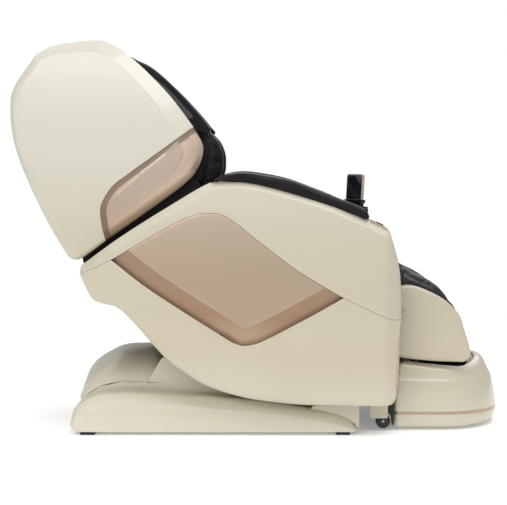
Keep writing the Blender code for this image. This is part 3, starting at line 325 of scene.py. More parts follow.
def gloss_black():
    """Piano-black plastic with faint wipe marks."""
    n = Nodes("gloss_black", (0.006, 0.006, 0.007), 0.1, Specular_IOR_Level=0.22,
              Coat_Weight=0.05, Coat_Roughness=0.04)
    n.colour(n.ramp(n.noise(6.0), (0.35, (0.005, 0.005, 0.006)), (0.7, (0.01, 0.0105, 0.012))))
    n.roughness(n.ramp(n.noise(45.0, 6.0, 0.7), (0.35, 0.08), (0.75, 0.19)))
    n.bump(n.noise(30.0, 2.0), 0.02, 0.002)
    return n.material


def speaker_cloth():
    """Dark grey acoustic mesh: a tight weave of ribs both ways."""
    n = Nodes("speaker_cloth", (0.07, 0.07, 0.072), 0.75)
    ribs = []
    for axis in ("X", "Z"):
        wave = n.add("ShaderNodeTexWave", Scale=260.0, Distortion=0.6)
        wave.bands_direction = axis
        n.link(n.place, wave.inputs["Vector"])
        ribs.append(wave.outputs["Fac"])
    weave = n.add("ShaderNodeMath", operation="MULTIPLY")
    n.link(ribs[0], weave.inputs[0])
    n.link(ribs[1], weave.inputs[1])
    n.colour(n.ramp(weave.outputs["Value"], (0.1, (0.025, 0.025, 0.026)), (0.8, (0.14, 0.14, 0.145))))
    n.bump(weave.outputs["Value"], 0.5, 0.0008)
    return n.material


def plain(name, low, high, rough, metallic=0.0, grain=180.0, bump=0.08, **sockets):
    """A moulded or metal finish: two close tones, uneven roughness and a fine texture."""
    n = Nodes(name, low, rough[0], metallic, **sockets)
    n.colour(n.ramp(n.noise(18.0, 4.0), (0.32, low), (0.72, high)))
    n.roughness(n.ramp(n.noise(40.0, 5.0), (0.3, rough[0]), (0.75, rough[1])))
    n.bump(n.noise(grain, 3.0), bump, 0.0008)
    return n.material


def perforated_bronze():
    """Rose-gold strip with rows of small dark dots."""
    n = Nodes("perforated_bronze", (0.45, 0.33, 0.25), 0.38, 0.5)
    dots = n.cells(210.0)
    n.colour(n.ramp(dots, (0.22, (0.1, 0.07, 0.05)), (0.36, (0.5, 0.38, 0.3))))
    n.bump(n.ramp(dots, (0.2, 0.0), (0.38, 1.0)), 0.5, 0.0008)
    return n.material


def screen_glass():
    n = Nodes("screen_glass", (0.01, 0.012, 0.016), 0.04, Coat_Weight=1.0, Coat_Roughness=0.02)
    n.colour(n.ramp(n.noise(5.0), (0.4, (0.008, 0.009, 0.012)), (0.7, (0.018, 0.02, 0.026))))
    n.roughness(n.ramp(n.noise(60.0, 2.0), (0.4, 0.04), (0.8, 0.07)))
    return n.material


CREAM = cream_shell()
BRONZE = bronze_trim("bronze_trim", (0.35, (0.49, 0.35, 0.238)), (0.68, (0.456, 0.334, 0.24)),
                     (0.95, (0.548, 0.428, 0.335)))
# painted shade: a darker copy of the rose-gold paint for the bands that slope down, away from the
# light
SHADED_BRONZE = bronze_trim("shaded_bronze_band", (0.34, (0.43, 0.31, 0.21)), (0.43, (0.3, 0.185, 0.112)),
                     (0.66, (0.28, 0.185, 0.12)), (0.85, (0.3, 0.225, 0.165)))
PALE_BRONZE = bronze_trim("pale_bronze", (0.4, (0.395, 0.298, 0.207)), (0.62, (0.43, 0.332, 0.237)),
                          (0.85, (0.455, 0.37, 0.297)))
LEATHER = leather()
CALF_LEATHER = leather("calf_leather", (0.0085, 0.006, 0.0068), (0.2, 0.36), 0.5, 0.05)
THREAD = plain("thread", (0.1, 0.085, 0.08), (0.17, 0.15, 0.14), (0.6, 0.8), grain=1200.0, bump=0.3)
GLOSS = gloss_black()
MESH = speaker_cloth()
STEEL = plain("steel", (0.24, 0.25, 0.26), (0.36, 0.37, 0.38), (0.32, 0.5), 0.9)
MOTOR = plain("motor_case", (0.045, 0.046, 0.05), (0.08, 0.08, 0.085), (0.42, 0.6), 0.1)
RUBBER = plain("rubber", (0.014, 0.014, 0.015), (0.035, 0.034, 0.033), (0.65, 0.85), grain=320.0,
               bump=0.25)
ROLLER = plain("roller", (0.4, 0.37, 0.31), (0.52, 0.49, 0.42), (0.45, 0.62), grain=420.0)
DOTTED = perforated_bronze()
GLASS = screen_glass()
SHADOW = plain("shadow_gap", (0.018, 0.016, 0.014), (0.03, 0.027, 0.024), (0.7, 0.9))
FLOOR = plain("floor", (0.9, 0.9, 0.9), (0.93, 0.93, 0.93), (0.8, 0.9), grain=40.0,
              bump=0.02, Emission_Color=(1, 1, 1, 1), Emission_Strength=0.2)
SLOTS = {"cream_shell": (CREAM,), "bronze_trim": (BRONZE, SHADED_BRONZE, PALE_BRONZE, DOTTED),
         "leather": (LEATHER, CALF_LEATHER, THREAD), "gloss_black": (GLOSS, GLASS, SHADOW, MESH),
         "steel": (STEEL,), "motor_case": (MOTOR,), "rubber": (RUBBER,), "roller": (ROLLER,)}


# ---------------------------------------------------------------- outline maths

def run(points, step=0.006):
    """Points along a smooth open curve through the given ones."""
    given = [Vector(p) for p in points]
    ctrl = [2 * given[0] - given[1], *given, 2 * given[-1] - given[-2]]
    out = []
    for a, b, c, d in zip(ctrl, ctrl[1:], ctrl[2:], ctrl[3:]):
        count = max(1, round((c - b).length / step))
        for i in range(count):
            t = i / count
            out.append(0.5 * (2 * b + (c - a) * t + (2 * a - 5 * b + 4 * c - d) * t * t
                              + (3 * b - a - 3 * c + d) * t ** 3))
    return out + [ctrl[-2]]


def closed(*sections, step=0.006):
    """One closed outline from sections that meet end to end."""
    return [p for section in sections for p in run(section, step)[:-1]]


def looped(points):
    return points + points[:1]


def area(outline):
    return sum(a.x * b.y - b.x * a.y for a, b in zip(outline, outline[1:] + outline[:1])) / 2


def inset(outline, width):
    """The outline moved inwards."""
    side = 1 if area(outline) > 0 else -1
    moved = []
    for i, p in enumerate(outline):
        before = (p - outline[i - 1]).normalized()
        after = (outline[(i + 1) % len(outline)] - p).normalized()
        normal = Vector((-before.y - after.y, before.x + after.x)).normalized() * side
        turn = max(0.6, normal.dot(Vector((-after.y, after.x)) * side))
        moved.append(p + normal * (width / turn))
    return moved


def back(u, v):
    """World (x, z) at a height u up the back from its hinge and v out in front."""
    sin, cos = math.sin(BACK_LEAN), math.cos(BACK_LEAN)
    return (BACK_PIVOT[0] - sin * u + cos * v, BACK_PIVOT[1] + cos * u + sin * v)


def distance(points, line, wrap=False):
    """Distance from each point to a polyline, and how far along it (0 to 1) the nearest spot is."""
    line = np.array([tuple(p) for p in line])
    if wrap:
        line = np.vstack([line, line[:1]])
    a, step = line[:-1], line[1:] - line[:-1]
    length = np.hypot(*step.T)
    t = np.einsum("ijk,jk->ij", points[:, None] - a, step) / np.maximum(length, 1e-9) ** 2
    t = np.clip(t, 0, 1)
    gap = points[:, None] - (a + t[..., None] * step)
    far = np.hypot(gap[..., 0], gap[..., 1])
    near = far.argmin(1)
    rows = np.arange(len(points))
    walked = np.concatenate([[0], np.cumsum(length)])
    return far[rows, near], (walked[near] + t[rows, near] * length[near]) / walked[-1]


def inside(points, outline):
    """Which points a closed outline holds."""
    x, z = points.T
    found = np.zeros(len(points), bool)
    for a, b in zip(outline, outline[1:] + outline[:1]):
        if abs(b.y - a.y) > 1e-12:
            crosses = ((a.y > z) != (b.y > z)) & (x < (b.x - a.x) * (z - a.y) / (b.y - a.y) + a.x)
            found ^= crosses
    return found


# ---------------------------------------------------------------- meshes

def new_object(name, data):
    obj = bpy.data.objects.new(name, data)
    bpy.context.scene.collection.objects.link(obj)
    return obj


def mesh_object(name, verts, faces):
    mesh = bpy.data.meshes.new(name)
    mesh.from_pydata([tuple(v) for v in verts], [], faces)
    return new_object(name, mesh)


def from_bmesh(name, bm):
    mesh = bpy.data.meshes.new(name)
    bm.to_mesh(mesh)
    bm.free()
    return new_object(name, mesh)


def shade(obj, angle=38):
    bm = bmesh.new()
    bm.from_mesh(obj.data)
    bmesh.ops.recalc_face_normals(bm, faces=bm.faces[:])
    bm.to_mesh(obj.data)
    bm.free()
    obj.data.shade_smooth()
    obj.data.set_sharp_from_angle(angle=math.radians(angle))


def dress(obj, material, body, *nodes, slot=None, angle=38):
    """Finish a piece: its material and body, and the CAD nodes it stands for.

    A piece with a CAD node's name stands for that node. The slot argument is not used.
    """
    obj.data.materials.clear()
    obj.data.materials.append(material)
    if obj.type == "MESH":
        shade(obj, angle)
    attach(obj, body)
    own = obj.name.rstrip("0123456789").rstrip(".")
    nodes = nodes or [own] * (own in NODES)
    if nodes:
        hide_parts(*nodes)
    return obj


def loft(name, rings, caps=True):
    """A closed body through rings of 3-D points with equal counts."""
    count = len(rings[0])
    verts = [p for ring in rings for p in ring]
    faces = []
    spans = len(rings) - 1 if caps else len(rings)
    for r in range(spans):
        low, high = r * count, (r + 1) % len(rings) * count
        faces += [(low + i, low + (i + 1) % count, high + (i + 1) % count, high + i)
                  for i in range(count)]
    if caps:
        faces += [tuple(range(count)), tuple(range(len(verts) - count, len(verts)))]
    return mesh_object(name, verts, faces)


def at_y(outline, y):
    return [(p[0], y, p[1]) for p in outline]


def net(outline, lines=(), pitch=0.009):
    """Triangles over a flat outline: an even net inside it, with rows of points along lines."""
    rim = np.array([tuple(p) for p in outline])
    lo, hi = rim.min(0), rim.max(0)
    rows = []
    for j in range(int((hi[1] - lo[1]) / (pitch * ROW_SPACING)) + 1):
        xs = np.arange(lo[0] + (j % 2) * pitch / 2, hi[0], pitch)
        rows.append(np.stack([xs, np.full(len(xs), lo[1] + j * pitch * ROW_SPACING)], 1))
    grid = np.vstack(rows)
    extra = [np.array([tuple(p) for p in line]) for line in lines]
    for line in extra:
        grid = grid[distance(grid, line)[0] > pitch * 0.45]
    points = np.vstack([grid] + extra)
    points = points[inside(points, outline)]
    points = points[distance(points, outline, wrap=True)[0] > 0.0012]
    verts = [Vector(p) for p in rim] + [Vector(p) for p in points]
    loop = list(range(len(rim)))
    found = delaunay_2d_cdt(verts, [], [loop], 1, 1e-7)
    return np.array([tuple(v) for v in found[0]]), [tuple(f) for f in found[2]]


def round_off(share):
    """A quarter-round edge: 1 at the outline, 0 where it meets the face."""
    share = np.clip(share, 0, 1)
    return 1 - np.sqrt(np.maximum(0, 1 - (1 - share) ** 2))


def bevel_off(share, soft=0.035):
    """A flat bevel with a slightly softened crease."""
    left = 1 - share
    return np.maximum(0, 0.5 * (left + np.sqrt(left ** 2 + soft ** 2)) - soft * 0.12) * (share < 2)


def falls(points, edges):
    """How far the face has dropped at each point, from the edges round it.

    Each edge is (line, (width at its start, width at its end), depth / width, shape).
    """
    drop = np.zeros(len(points))
    for line, widths, slope, shape in edges:
        away, along = distance(points, run(line))
        width = widths[0] + (widths[1] - widths[0]) * along
        drop = np.maximum(drop, shape(away / np.maximum(width, 1e-5)) * width * slope)
    return drop


def crease_rows(outline, edges):
    """Rows of points beside each edge, where its shape turns."""
    rows = []
    for line, widths, _, shape in edges:
        if sum(widths) < 0.009:
            continue
        path = run(line, max(0.003, min(0.006, sum(widths) * 0.09)))
        middle = len(path) // 2
        ahead = (path[middle + 1] - path[middle - 1]).normalized()
        probe = path[middle] + Vector((-ahead.y, ahead.x)) * 0.004
        side = 1 if inside(np.array([tuple(probe)]), outline)[0] else -1
        shares = (0.12, 0.35, 0.65, 1.0) if shape is round_off else (0.06, 0.5, 0.9, 1.0, 1.1)
        for share in shares:
            row = []
            for i in range(1, len(path) - 1):
                ahead = (path[i + 1] - path[i - 1]).normalized()
                normal = Vector((-ahead.y, ahead.x)) * side
                width = widths[0] + (widths[1] - widths[0]) * i / (len(path) - 1)
                row.append(path[i] + normal * width * share)
            if row:
                rows.append(row)
    return rows


def relief(name, outline, front, back_y, edges=(), pitch=0.009):
    """A closed side panel: front(points) gives its outer y and back_y its inner one."""
    points, faces = net(outline, crease_rows(outline, edges), pitch)
    y = front(points)
    bm = bmesh.new()
    verts = [bm.verts.new((p[0], h, p[1])) for p, h in zip(points, y)]
    for face in faces:
        bm.faces.new([verts[i] for i in face])
    rim = [e for e in bm.edges if len(e.link_faces) == 1]
    grown = bmesh.ops.extrude_edge_only(bm, edges=rim)["geom"]
    far = [v for v in grown if isinstance(v, bmesh.types.BMVert)]
    for v in far:
        v.co.y = back_y
    bmesh.ops.holes_fill(bm, edges=[e for e in bm.edges if len(e.link_faces) == 1], sides=0)
    return from_bmesh(name, bm)


def paint(obj, material, line, width):
    """Give the faces within a width of a line another material."""
    obj.data.materials.append(material)
    faces = obj.data.polygons
    spots = np.array([(f.center.x, f.center.z) for f in faces])
    near = distance(spots, run(line))[0] < width
    for face, chosen in zip(faces, near):
        face.material_index = int(chosen)


def slab(name, outline, y0, y1):
    return loft(name, [at_y(outline, y0), at_y(outline, y1)])


def plate(name, outline, y0, y1, rounding, material, body):
    """A flat plate cut to a side outline, with rounded edges."""
    return dress(soften_edges(slab(name, outline, y0, y1), rounding), material, body)


def panel(name, outline, y, back_y, material, body, pitch=0.009):
    """A flat panel cut to a side outline."""
    return dress(relief(name, outline, lambda p: np.full(len(p), y), back_y, pitch=pitch),
                 material, body)


def rounded_plate(name, place, x, y, z, corner, steps=6):
    """A plate standing in the handset's own axes, with round corners seen from the front."""
    ring = []
    for i, (cx, cz) in enumerate(((x[1] - corner, z[1] - corner), (x[0] + corner, z[1] - corner),
                                  (x[0] + corner, z[0] + corner), (x[1] - corner, z[0] + corner))):
        for k in range(steps + 1):
            turn = math.pi / 2 * (i + k / steps)
            ring.append((cx + corner * math.cos(turn), cz + corner * math.sin(turn)))
    slim = 0.0012
    middle = ((x[0] + x[1]) / 2, (z[0] + z[1]) / 2)
    rings = []
    for depth, tuck in ((y[0], slim), (y[0] + slim, 0), (y[1] - slim, 0), (y[1], slim)):
        rings.append([place @ Vector((p + math.copysign(tuck, middle[0] - p), depth,
                                      q + math.copysign(tuck, middle[1] - q))) for p, q in ring])
    return loft(name, rings)


def rod(name, start, end, radius, sides=24):
    a, b = Vector(start), Vector(end)
    bm = bmesh.new()
    bmesh.ops.create_cone(bm, cap_ends=True, segments=sides, radius1=radius, radius2=radius,
                          depth=(b - a).length)
    aim = (b - a).to_track_quat("Z", "Y").to_matrix().to_4x4()
    bmesh.ops.transform(bm, matrix=Matrix.Translation((a + b) / 2) @ aim, verts=bm.verts)
    return from_bmesh(name, bm)


def soften_edges(obj, width, segments=3):
    """Round the edges that turn by more than 40 degrees."""
    step = obj.modifiers.new("rounding", "BEVEL")
    step.width = width
    step.segments = segments
    step.limit_method = "ANGLE"
    step.angle_limit = math.radians(40)
    return obj


def cable(name, points, radius):
    """A round bead along 3-D points."""
    curve = bpy.data.curves.new(name, "CURVE")
    curve.dimensions = "3D"
    curve.bevel_depth = radius
    curve.bevel_resolution = 2
    curve.use_fill_caps = True
    spline = curve.splines.new("POLY")
    spline.points.add(len(points) - 1)
    for spot, p in zip(spline.points, points):
        spot.co = (*p, 1)
    return new_object(name, curve)


# ---------------------------------------------------------------- arms

def arm_curve(points):
    """How far the arm's whole side curves in: towards its top and bottom, and round its ends."""
    x, z = points.T
    barrel = 0.015 * ((z - 0.44) / 0.35) ** 2
    facet = 0.36 * (np.sqrt((x - 0.401) ** 2 + 0.0015 ** 2) + (x - 0.401))
    tail = 0.16 * (np.sqrt((x + 0.46) ** 2 + 0.03 ** 2) - (x + 0.46))
    return barrel + facet + tail


def arm_panel(name, sign, outline, edges, out, material):
    obj = relief(name, inset(outline, SEAM),
                 lambda p: sign * (out - arm_curve(p) - falls(p, edges)), sign * ARM_IN, edges)
    return dress(obj, material, "seat")


def parting(line):
    """The fine rounded edge of a shell along a parting line."""
    return line, (0.002, 0.002), 0.8, round_off


def arms():
    chamfer = (ARM_TOP, (0.02, 0.024), 0.85, bevel_off)
    nose = (ARM_FRONT_UPPER, (0.014, 0.014), 0.9, round_off)
    upper_edges = [chamfer, (ARM_TOP, (0.005, 0.005), 1.0, round_off), nose,
                   (ARM_REAR, (0.016, 0.016), 0.7, round_off)]
    upper_edges += [parting(line) for line in (PARTING_FRONT, DIAMOND_TOP, PARTING_REAR)]
    lower_edges = [(ARM_FRONT_LOWER, (0.012, 0.012), 0.9, round_off),
                   (ARM_BOTTOM, (0.018, 0.018), 0.8, round_off),
                   (DIAMOND_BOTTOM, (0.003, 0.003), 0.8, round_off)]
    lower_edges += [parting(line) for line in (PARTING_FRONT, PARTING_REAR)]
    insert_edges = [(DIAMOND_BOTTOM, (SHADED_BAND_WIDTH, SHADED_BAND_WIDTH), 0.3, bevel_off),
                    parting(DIAMOND_TOP)]
    upper = closed(ARM_TOP, ARM_FRONT_UPPER, PARTING_FRONT, DIAMOND_TOP, PARTING_REAR, ARM_REAR)
    lower = closed(ARM_FRONT_LOWER, ARM_BOTTOM, PARTING_REAR[::-1], DIAMOND_BOTTOM[::-1],
                   PARTING_FRONT[::-1])
    insert = closed(DIAMOND_TOP, DIAMOND_BOTTOM[::-1])
    for side, sign in SIDES:
        arm_panel(f"arm_upper_shell_{side}", sign, upper, upper_edges, ARM_OUT, CREAM)
        arm_panel(f"arm_lower_shell_{side}", sign, lower, lower_edges, ARM_OUT, CREAM)
        face = arm_panel(f"arm_insert_{side}", sign, insert, insert_edges, ARM_OUT - 0.0015,
                         PALE_BRONZE)
        # painted shade: the insert's downward-sloping lower band gets the darker copy of the paint
        paint(face, SHADED_BRONZE, DIAMOND_BOTTOM, SHADED_BAND_WIDTH)
        latch_slot(side, sign)
        front_grille(side, sign)


def latch_slot(side, sign):
    """A short dark slot on the insert's lower edge."""
    path = [p for p in run(DIAMOND_BOTTOM) if -0.112 < p.x < -0.064]
    flat = np.array([tuple(p) for p in path])
    depth = ARM_OUT - arm_curve(flat) - LATCH_SINK
    bead = cable(f"insert_latch_slot_{side}", [(p.x, sign * y, p.y) for p, y in zip(path, depth)],
                 0.0021)
    dress(bead, SHADOW, "seat")


def front_grille(side, sign):
    """A slotted bronze strip on the front face of the arm's lower shell."""
    path = [p for p in run(ARM_FRONT_LOWER, 0.01) if 0.15 < p.y < 0.306]
    outline = [p + Vector((0.0012, 0)) for p in path] + [p - Vector((0.006, 0)) for p in path[::-1]]
    plate(f"arm_grille_{side}", outline, sign * 0.312, sign * 0.388, 0.001, BRONZE, "seat")
    louvres = [rod("louvre", *((p.x + LOUVRE_LIFT, sign * y, p.y) for y in (0.322, 0.378)),
                   0.0016, 8) for p in run(path, 0.009)[1:-1:2]]
    dress(merged(f"arm_grille_slots_{side}", louvres), SHADOW, "seat")


def merged(name, objects):
    """Several helper solids as one piece."""
    bm = bmesh.new()
    for obj in objects:
        bm.from_mesh(obj.data)
        bpy.data.objects.remove(obj)
    return from_bmesh(name, bm)


# ---------------------------------------------------------------- back shells

def wing_curve(points):
    """The wing bellies out in its middle and turns in towards its rear and its foot."""
    x, z = points.T
    rear = 0.02 * np.clip((-0.4 - x) / 0.34, 0, 1.2) ** 2
    belly = 0.016 * ((z - 0.9) / 0.32) ** 2
    return rear + belly


def wings():
    crown = (WING_CROWN, (0.024, 0.058), 0.62, bevel_off)
    shell_edges = [crown, (WING_CROWN, (0.006, 0.008), 1.0, round_off),
                   (WING_REAR, (0.03, 0.026), 0.75, round_off),
                   (WING_FOOT, (0.01, 0.02), 0.7, round_off),
                   (WING_SPLIT, (0.004, 0.004), 0.8, round_off)]
    insert_edges = [(WING_NOSE, (0.056, 0.036), 0.62, round_off)]
    recess_wall = [(WING_SPLIT, (0.019, 0.01), 0.8, bevel_off)]
    shell = closed(WING_REAR, WING_CROWN, WING_SPLIT[::-1], WING_FOOT)
    insert = closed(WING_NOSE, WING_SPLIT)
    badge = closed(looped(INSERT_PLATE))
    badge_edge = [(looped(INSERT_PLATE), (0.002, 0.002), 0.6, round_off)]
    recess = 0.018
    for side, sign in SIDES:
        wing = relief(f"wing_{side}", inset(shell, SEAM),
                      lambda p: sign * (WING_OUT - wing_curve(p) - falls(p, shell_edges)),
                      sign * WING_IN, shell_edges)
        dress(wing, CREAM, "backrest")

        def insert_face(p):
            return (WING_OUT - recess - wing_curve(p) - falls(p, insert_edges)
                    + falls(p, recess_wall))

        cover = relief(f"wing_insert_{side}", inset(insert, SEAM), lambda p: sign * insert_face(p),
                       sign * WING_IN, insert_edges + recess_wall)
        dress(cover, BRONZE, "backrest")
        # painted shade: the recess wall along the split, facing down, gets the darker copy of the
        # paint
        paint(cover, SHADED_BRONZE, WING_SPLIT, 0.017)
        dress(relief(f"wing_plate_{side}", badge,
                     lambda p: sign * (insert_face(p) + 0.0016 - falls(p, badge_edge)),
                     sign * (WING_OUT - 0.04), badge_edge), PALE_BRONZE, "backrest")


def back_shell():
    """The back's rear shell, crowned across its width, with two panel lines and vents."""
    outer = run(WING_REAR, 0.02)[:-1] + run(WING_CROWN[:5], 0.02)
    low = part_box("back_shell")[0].x
    crown_size = (min(p.x for p in outer) - low) / 0.94
    half = WING_IN - 0.001
    count = 40
    rings = []
    for i in range(count + 1):
        y = half * (2 * i / count - 1)
        crown = crown_size * (1 - (y / half) ** 2)
        groove = GROOVE_DEPTH * math.exp(-((abs(y) - GROOVE_Y) / GROOVE_WIDTH) ** 2)
        skin = [p + Vector(((groove - crown) * min(1, max(0, (1.25 - p.y) / 0.25)), 0)) for p in outer]
        lining = [p + Vector((0.011, -0.004)) for p in skin]
        rings.append(at_y(skin + lining[::-1], y))
    shell = dress(loft("back_shell", rings), CREAM, "backrest", angle=50)
    vents = []
    for row in range(7):
        height = 0.64 + 0.02 * row
        for centre in (-0.09, 0.09):
            line = [(0, centre + 0.011 * k, height) for k in range(-5, 6)]
            spots = [spot + Vector((VENT_SINK, 0, 0))
                     for spot, _ in on_surface(shell, line, (1, 0, 0), 2.0)]
            vents += [rod("vent", a, b, 0.003, 10) for a, b in zip(spots, spots[1:])]
    dress(merged("back_vents", vents), SHADOW, "backrest")


# ---------------------------------------------------------------- base

def skirt_outline(t, tuck):
    """Side outline of the skirt, from its crease (t = 0) to the top of its ledge (t = 1)."""
    top = [Vector(a).lerp(Vector(b), t) for a, b in zip(SKIRT_CREASE, SKIRT_LEDGE)]
    low = run([(0.322, 0.0145), (0.312, 0.011), (-0.562, 0.011), (-0.574, 0.016), (-0.58, 0.026)],
              0.02)
    outline = [Vector(p) for p in low] + run([(-0.58, 0.034)] + top, 0.014)
    middle = -0.13
    return [(middle + (p[0] - middle) * (1 - tuck), p[1]) for p in outline]


def base():
    levels = ((0.36, 0.0, 0.045), (0.3592, 0.06, 0.038), (0.356, 0.18, 0.022), (0.35, 0.38, 0.013),
              (0.343, 0.6, 0.007), (0.336, 0.82, 0.003), (0.33, 0.95, 0.0008), (0.322, 1.0, 0.0))
    rings = [at_y(skirt_outline(t, tuck), -y) for y, t, tuck in levels]
    rings += [at_y(skirt_outline(t, tuck), y) for y, t, tuck in reversed(levels)]
    dress(loft("base_skirt", rings), CREAM, "base", angle=50)
    deck = [(-0.552, 0.07), (-0.552, 0.1022), (-0.492, 0.1402), (-0.427, 0.1552), (-0.3455, 0.1522),
            (-0.2958, 0.232), (-0.24, 0.24), (-0.12, 0.16), (-0.06, 0.1)]
    for side, sign in SIDES:
        plate(f"skirt_cheek_{side}", deck, sign * 0.262, sign * 0.272, 0.002, CREAM, "base")
        wheel_housing(side, sign)
    base_front()
    feet()
    power_box()
    dome()


def dome():
    """The rear cover: an arch across the base, highest in the middle and dying out at its seams."""
    overlap = 0.0006
    seat_x, seat_z = zip(*sorted(DOME_SEAT))
    outline = closed([(x, z - overlap) for x, z in DOME_SEAT], step=0.012)
    seat_count = len(outline)
    outline += run([(x + overlap, z) for x, z in DOME_TOP], 0.012)[:-1]
    rings = []
    steps = 16
    for i in range(steps + 1):
        t = math.cos(math.pi / 2 * i / steps)
        arch = max(0.02, 1 - 0.63 * t ** 2 - 0.37 * t ** 12)
        ring = []
        for k, (x, z) in enumerate(outline):
            if k >= seat_count:
                seat = float(np.interp(x, seat_x, seat_z))
                z = seat + (z - seat) * arch * float(np.interp(x, *DOME_CROWN))
            x -= DOME_REACH * (1 - t * t) * min(1, max(0, (-0.48 - x) / 0.07))
            ring.append((x, -DOME_HALF * t, z))
        rings.append(ring)
    rings += [[(x, -y, z) for x, y, z in ring] for ring in reversed(rings[:-1])]
    cover = dress(loft("base_rear_cover", rings), CREAM, "base", angle=50)
    mains_inlet(cover)


def feet():
    """Black rubber feet under both ends of the skirt."""
    for end, x0, x1 in (("front", 0.25, 0.292), ("rear", -0.547, -0.502)):
        plate(f"floor_bar_{end}", [(x0, 0), (x1, 0), (x1, 0.015), (x0, 0.015)], -0.35, 0.35,
              0.001, RUBBER, "base")


def power_box():
    """The power supply under the rear cover."""
    outline = mm((-482, 140.5), (-395, 140.5), (-395, 170), (-460, 170), (-482, 158))
    plate("power_supply", outline, 0.04, 0.2, 0.002, MOTOR, "base")


def mains_inlet(cover):
    """A socket for the mains lead, flush in the rear cover."""
    (spot, normal), = on_surface(cover, [(-0.5, 0.12, 0.15)], (1, 0, 0))
    place = Matrix.Translation(spot) @ normal.to_track_quat("-Y", "Z").to_matrix().to_4x4()
    dress(rounded_plate("mains_inlet", place, (-0.017, 0.017), (-0.0022, 0.006),
                        (-0.013, 0.013), 0.004), GLOSS, "base")
    pins = [rod("pin", place @ Vector((x, -0.003, z)), place @ Vector((x, 0.0, z)), 0.0022, 12)
            for x, z in ((-0.007, -0.003), (0.007, -0.003), (0.0, 0.005))]
    dress(merged("mains_inlet_pins", pins), STEEL, "base")


def wheel_housing(side, sign):
    """A cream cap over the transport wheel's bracket, and the wheel's black fork."""
    cap = mm((359, 112), (359, 44), (363, 40), (412, 40), (416, 44), (416, 112))
    plate(f"wheel_housing_{side}", cap, sign * 0.273, sign * 0.279, 0.0015, CREAM, "base")
    fork = mm((404, 100), (404, 58), (424, 52), (428.5, 18), (434.5, 18), (434.5, 100))
    plate(f"wheel_fork_{side}", fork, sign * 0.2715, sign * 0.2745, 0.001, GLOSS, "base")


def base_front():
    """The base's cream front cover, with sides that close it behind the skirt."""
    outline = mm((312, 11), (321.5, 13), (322.5, 20), (322.5, 86), (319, 89), (180, 89),
                 (150, 60), (150, 11))
    for side, sign in SIDES:
        plate(f"base_front_cheek_{side}", outline, sign * 0.318, sign * 0.3295, 0.002, CREAM, "base")
    front = mm((312, 11.2), (321.3, 13.2), (322.3, 20), (322.3, 70), (319, 73), (315, 73),
               (315, 16), (312, 15))
    dress(slab("base_front_cover", front, -0.319, 0.319), CREAM, "base", angle=50)


# ---------------------------------------------------------------- leg rest and foot rest

def calf_shells():
    edges = [(CALF_TOP, (0.009, 0.009), 0.9, round_off), (CALF_BOTTOM, (0.014, 0.014), 0.8, round_off),
             (CALF_REAR, (0.004, 0.004), 0.8, round_off)]
    outline = closed(CALF_TOP, CALF_BOTTOM, CALF_REAR)

    def face(p):
        x, z = p.T
        bulge = 0.012 * (((x - 0.545) / 0.13) ** 2 + ((z - 0.335) / 0.12) ** 2) * 0.5
        return 0.26 - bulge - falls(p, edges)

    for side, sign in SIDES:
        shell = relief(f"calf_shell_{side}", outline, lambda p: sign * face(p), sign * 0.2152, edges,
                       pitch=0.007)
        dress(shell, CREAM, "legrest")


FOOT_HEEL, FOOT_HALF, FOOT_STEPS = 0.437, 0.27, 80
FOOT_FLANK_END, FOOT_CORNER = 0.585, 0.93
FOOT_PROFILE = mm((10, 770), (15, 780), (28, 789.5), (50, 792.5), (62, 792.5), (100, 788.5),
                  (135, 780), (170, 768), (200, 756), (215, 742), (222, 730))


def foot_toe(z):
    """How far forward the foot rest reaches at a height."""
    heights, reach = zip(*FOOT_PROFILE)
    return float(np.interp(z, heights, reach))


def foot_ring(z, grow, rise=0.0):
    """Plan outline of the foot rest at a height: square heel, rounded toe."""
    heel = FOOT_HEEL - grow
    toe = foot_toe(z) + grow
    half = FOOT_HALF + grow - 0.06 * max(0.0, z - 0.02)
    flank = [(heel, half - 0.014), (heel + 0.002, half - 0.007), (heel + 0.007, half - 0.002),
             (heel + 0.014, half)]
    reach = FOOT_FLANK_END - heel - 0.014
    flank += [(heel + 0.014 + reach * i / 12, half) for i in range(1, 12)]
    plan = [(x, -y) for x, y in flank]
    for i in range(FOOT_STEPS + 1):
        turn = -math.pi / 2 + math.pi * i / FOOT_STEPS
        x = FOOT_FLANK_END + (toe - FOOT_FLANK_END) * abs(math.cos(turn)) ** FOOT_CORNER
        y = half * math.copysign(abs(math.sin(turn)) ** FOOT_CORNER, math.sin(turn))
        plan.append((x, y))
    plan += flank[::-1]
    return [(x, y, z + rise * foot_rise(x, y)) for x, y in plan]


def foot_rise(x, y):
    """How far the rim climbs: a little over the toes and more towards the heel."""
    toe = min(1.0, max(0.0, (x - 0.64) / 0.09))
    middle = max(0.0, 1 - (y / 0.3) ** 2)
    heel = min(1.0, max(0.0, (0.65 - x) / 0.195))
    return 0.026 * toe ** 2 * middle + 0.024 * heel


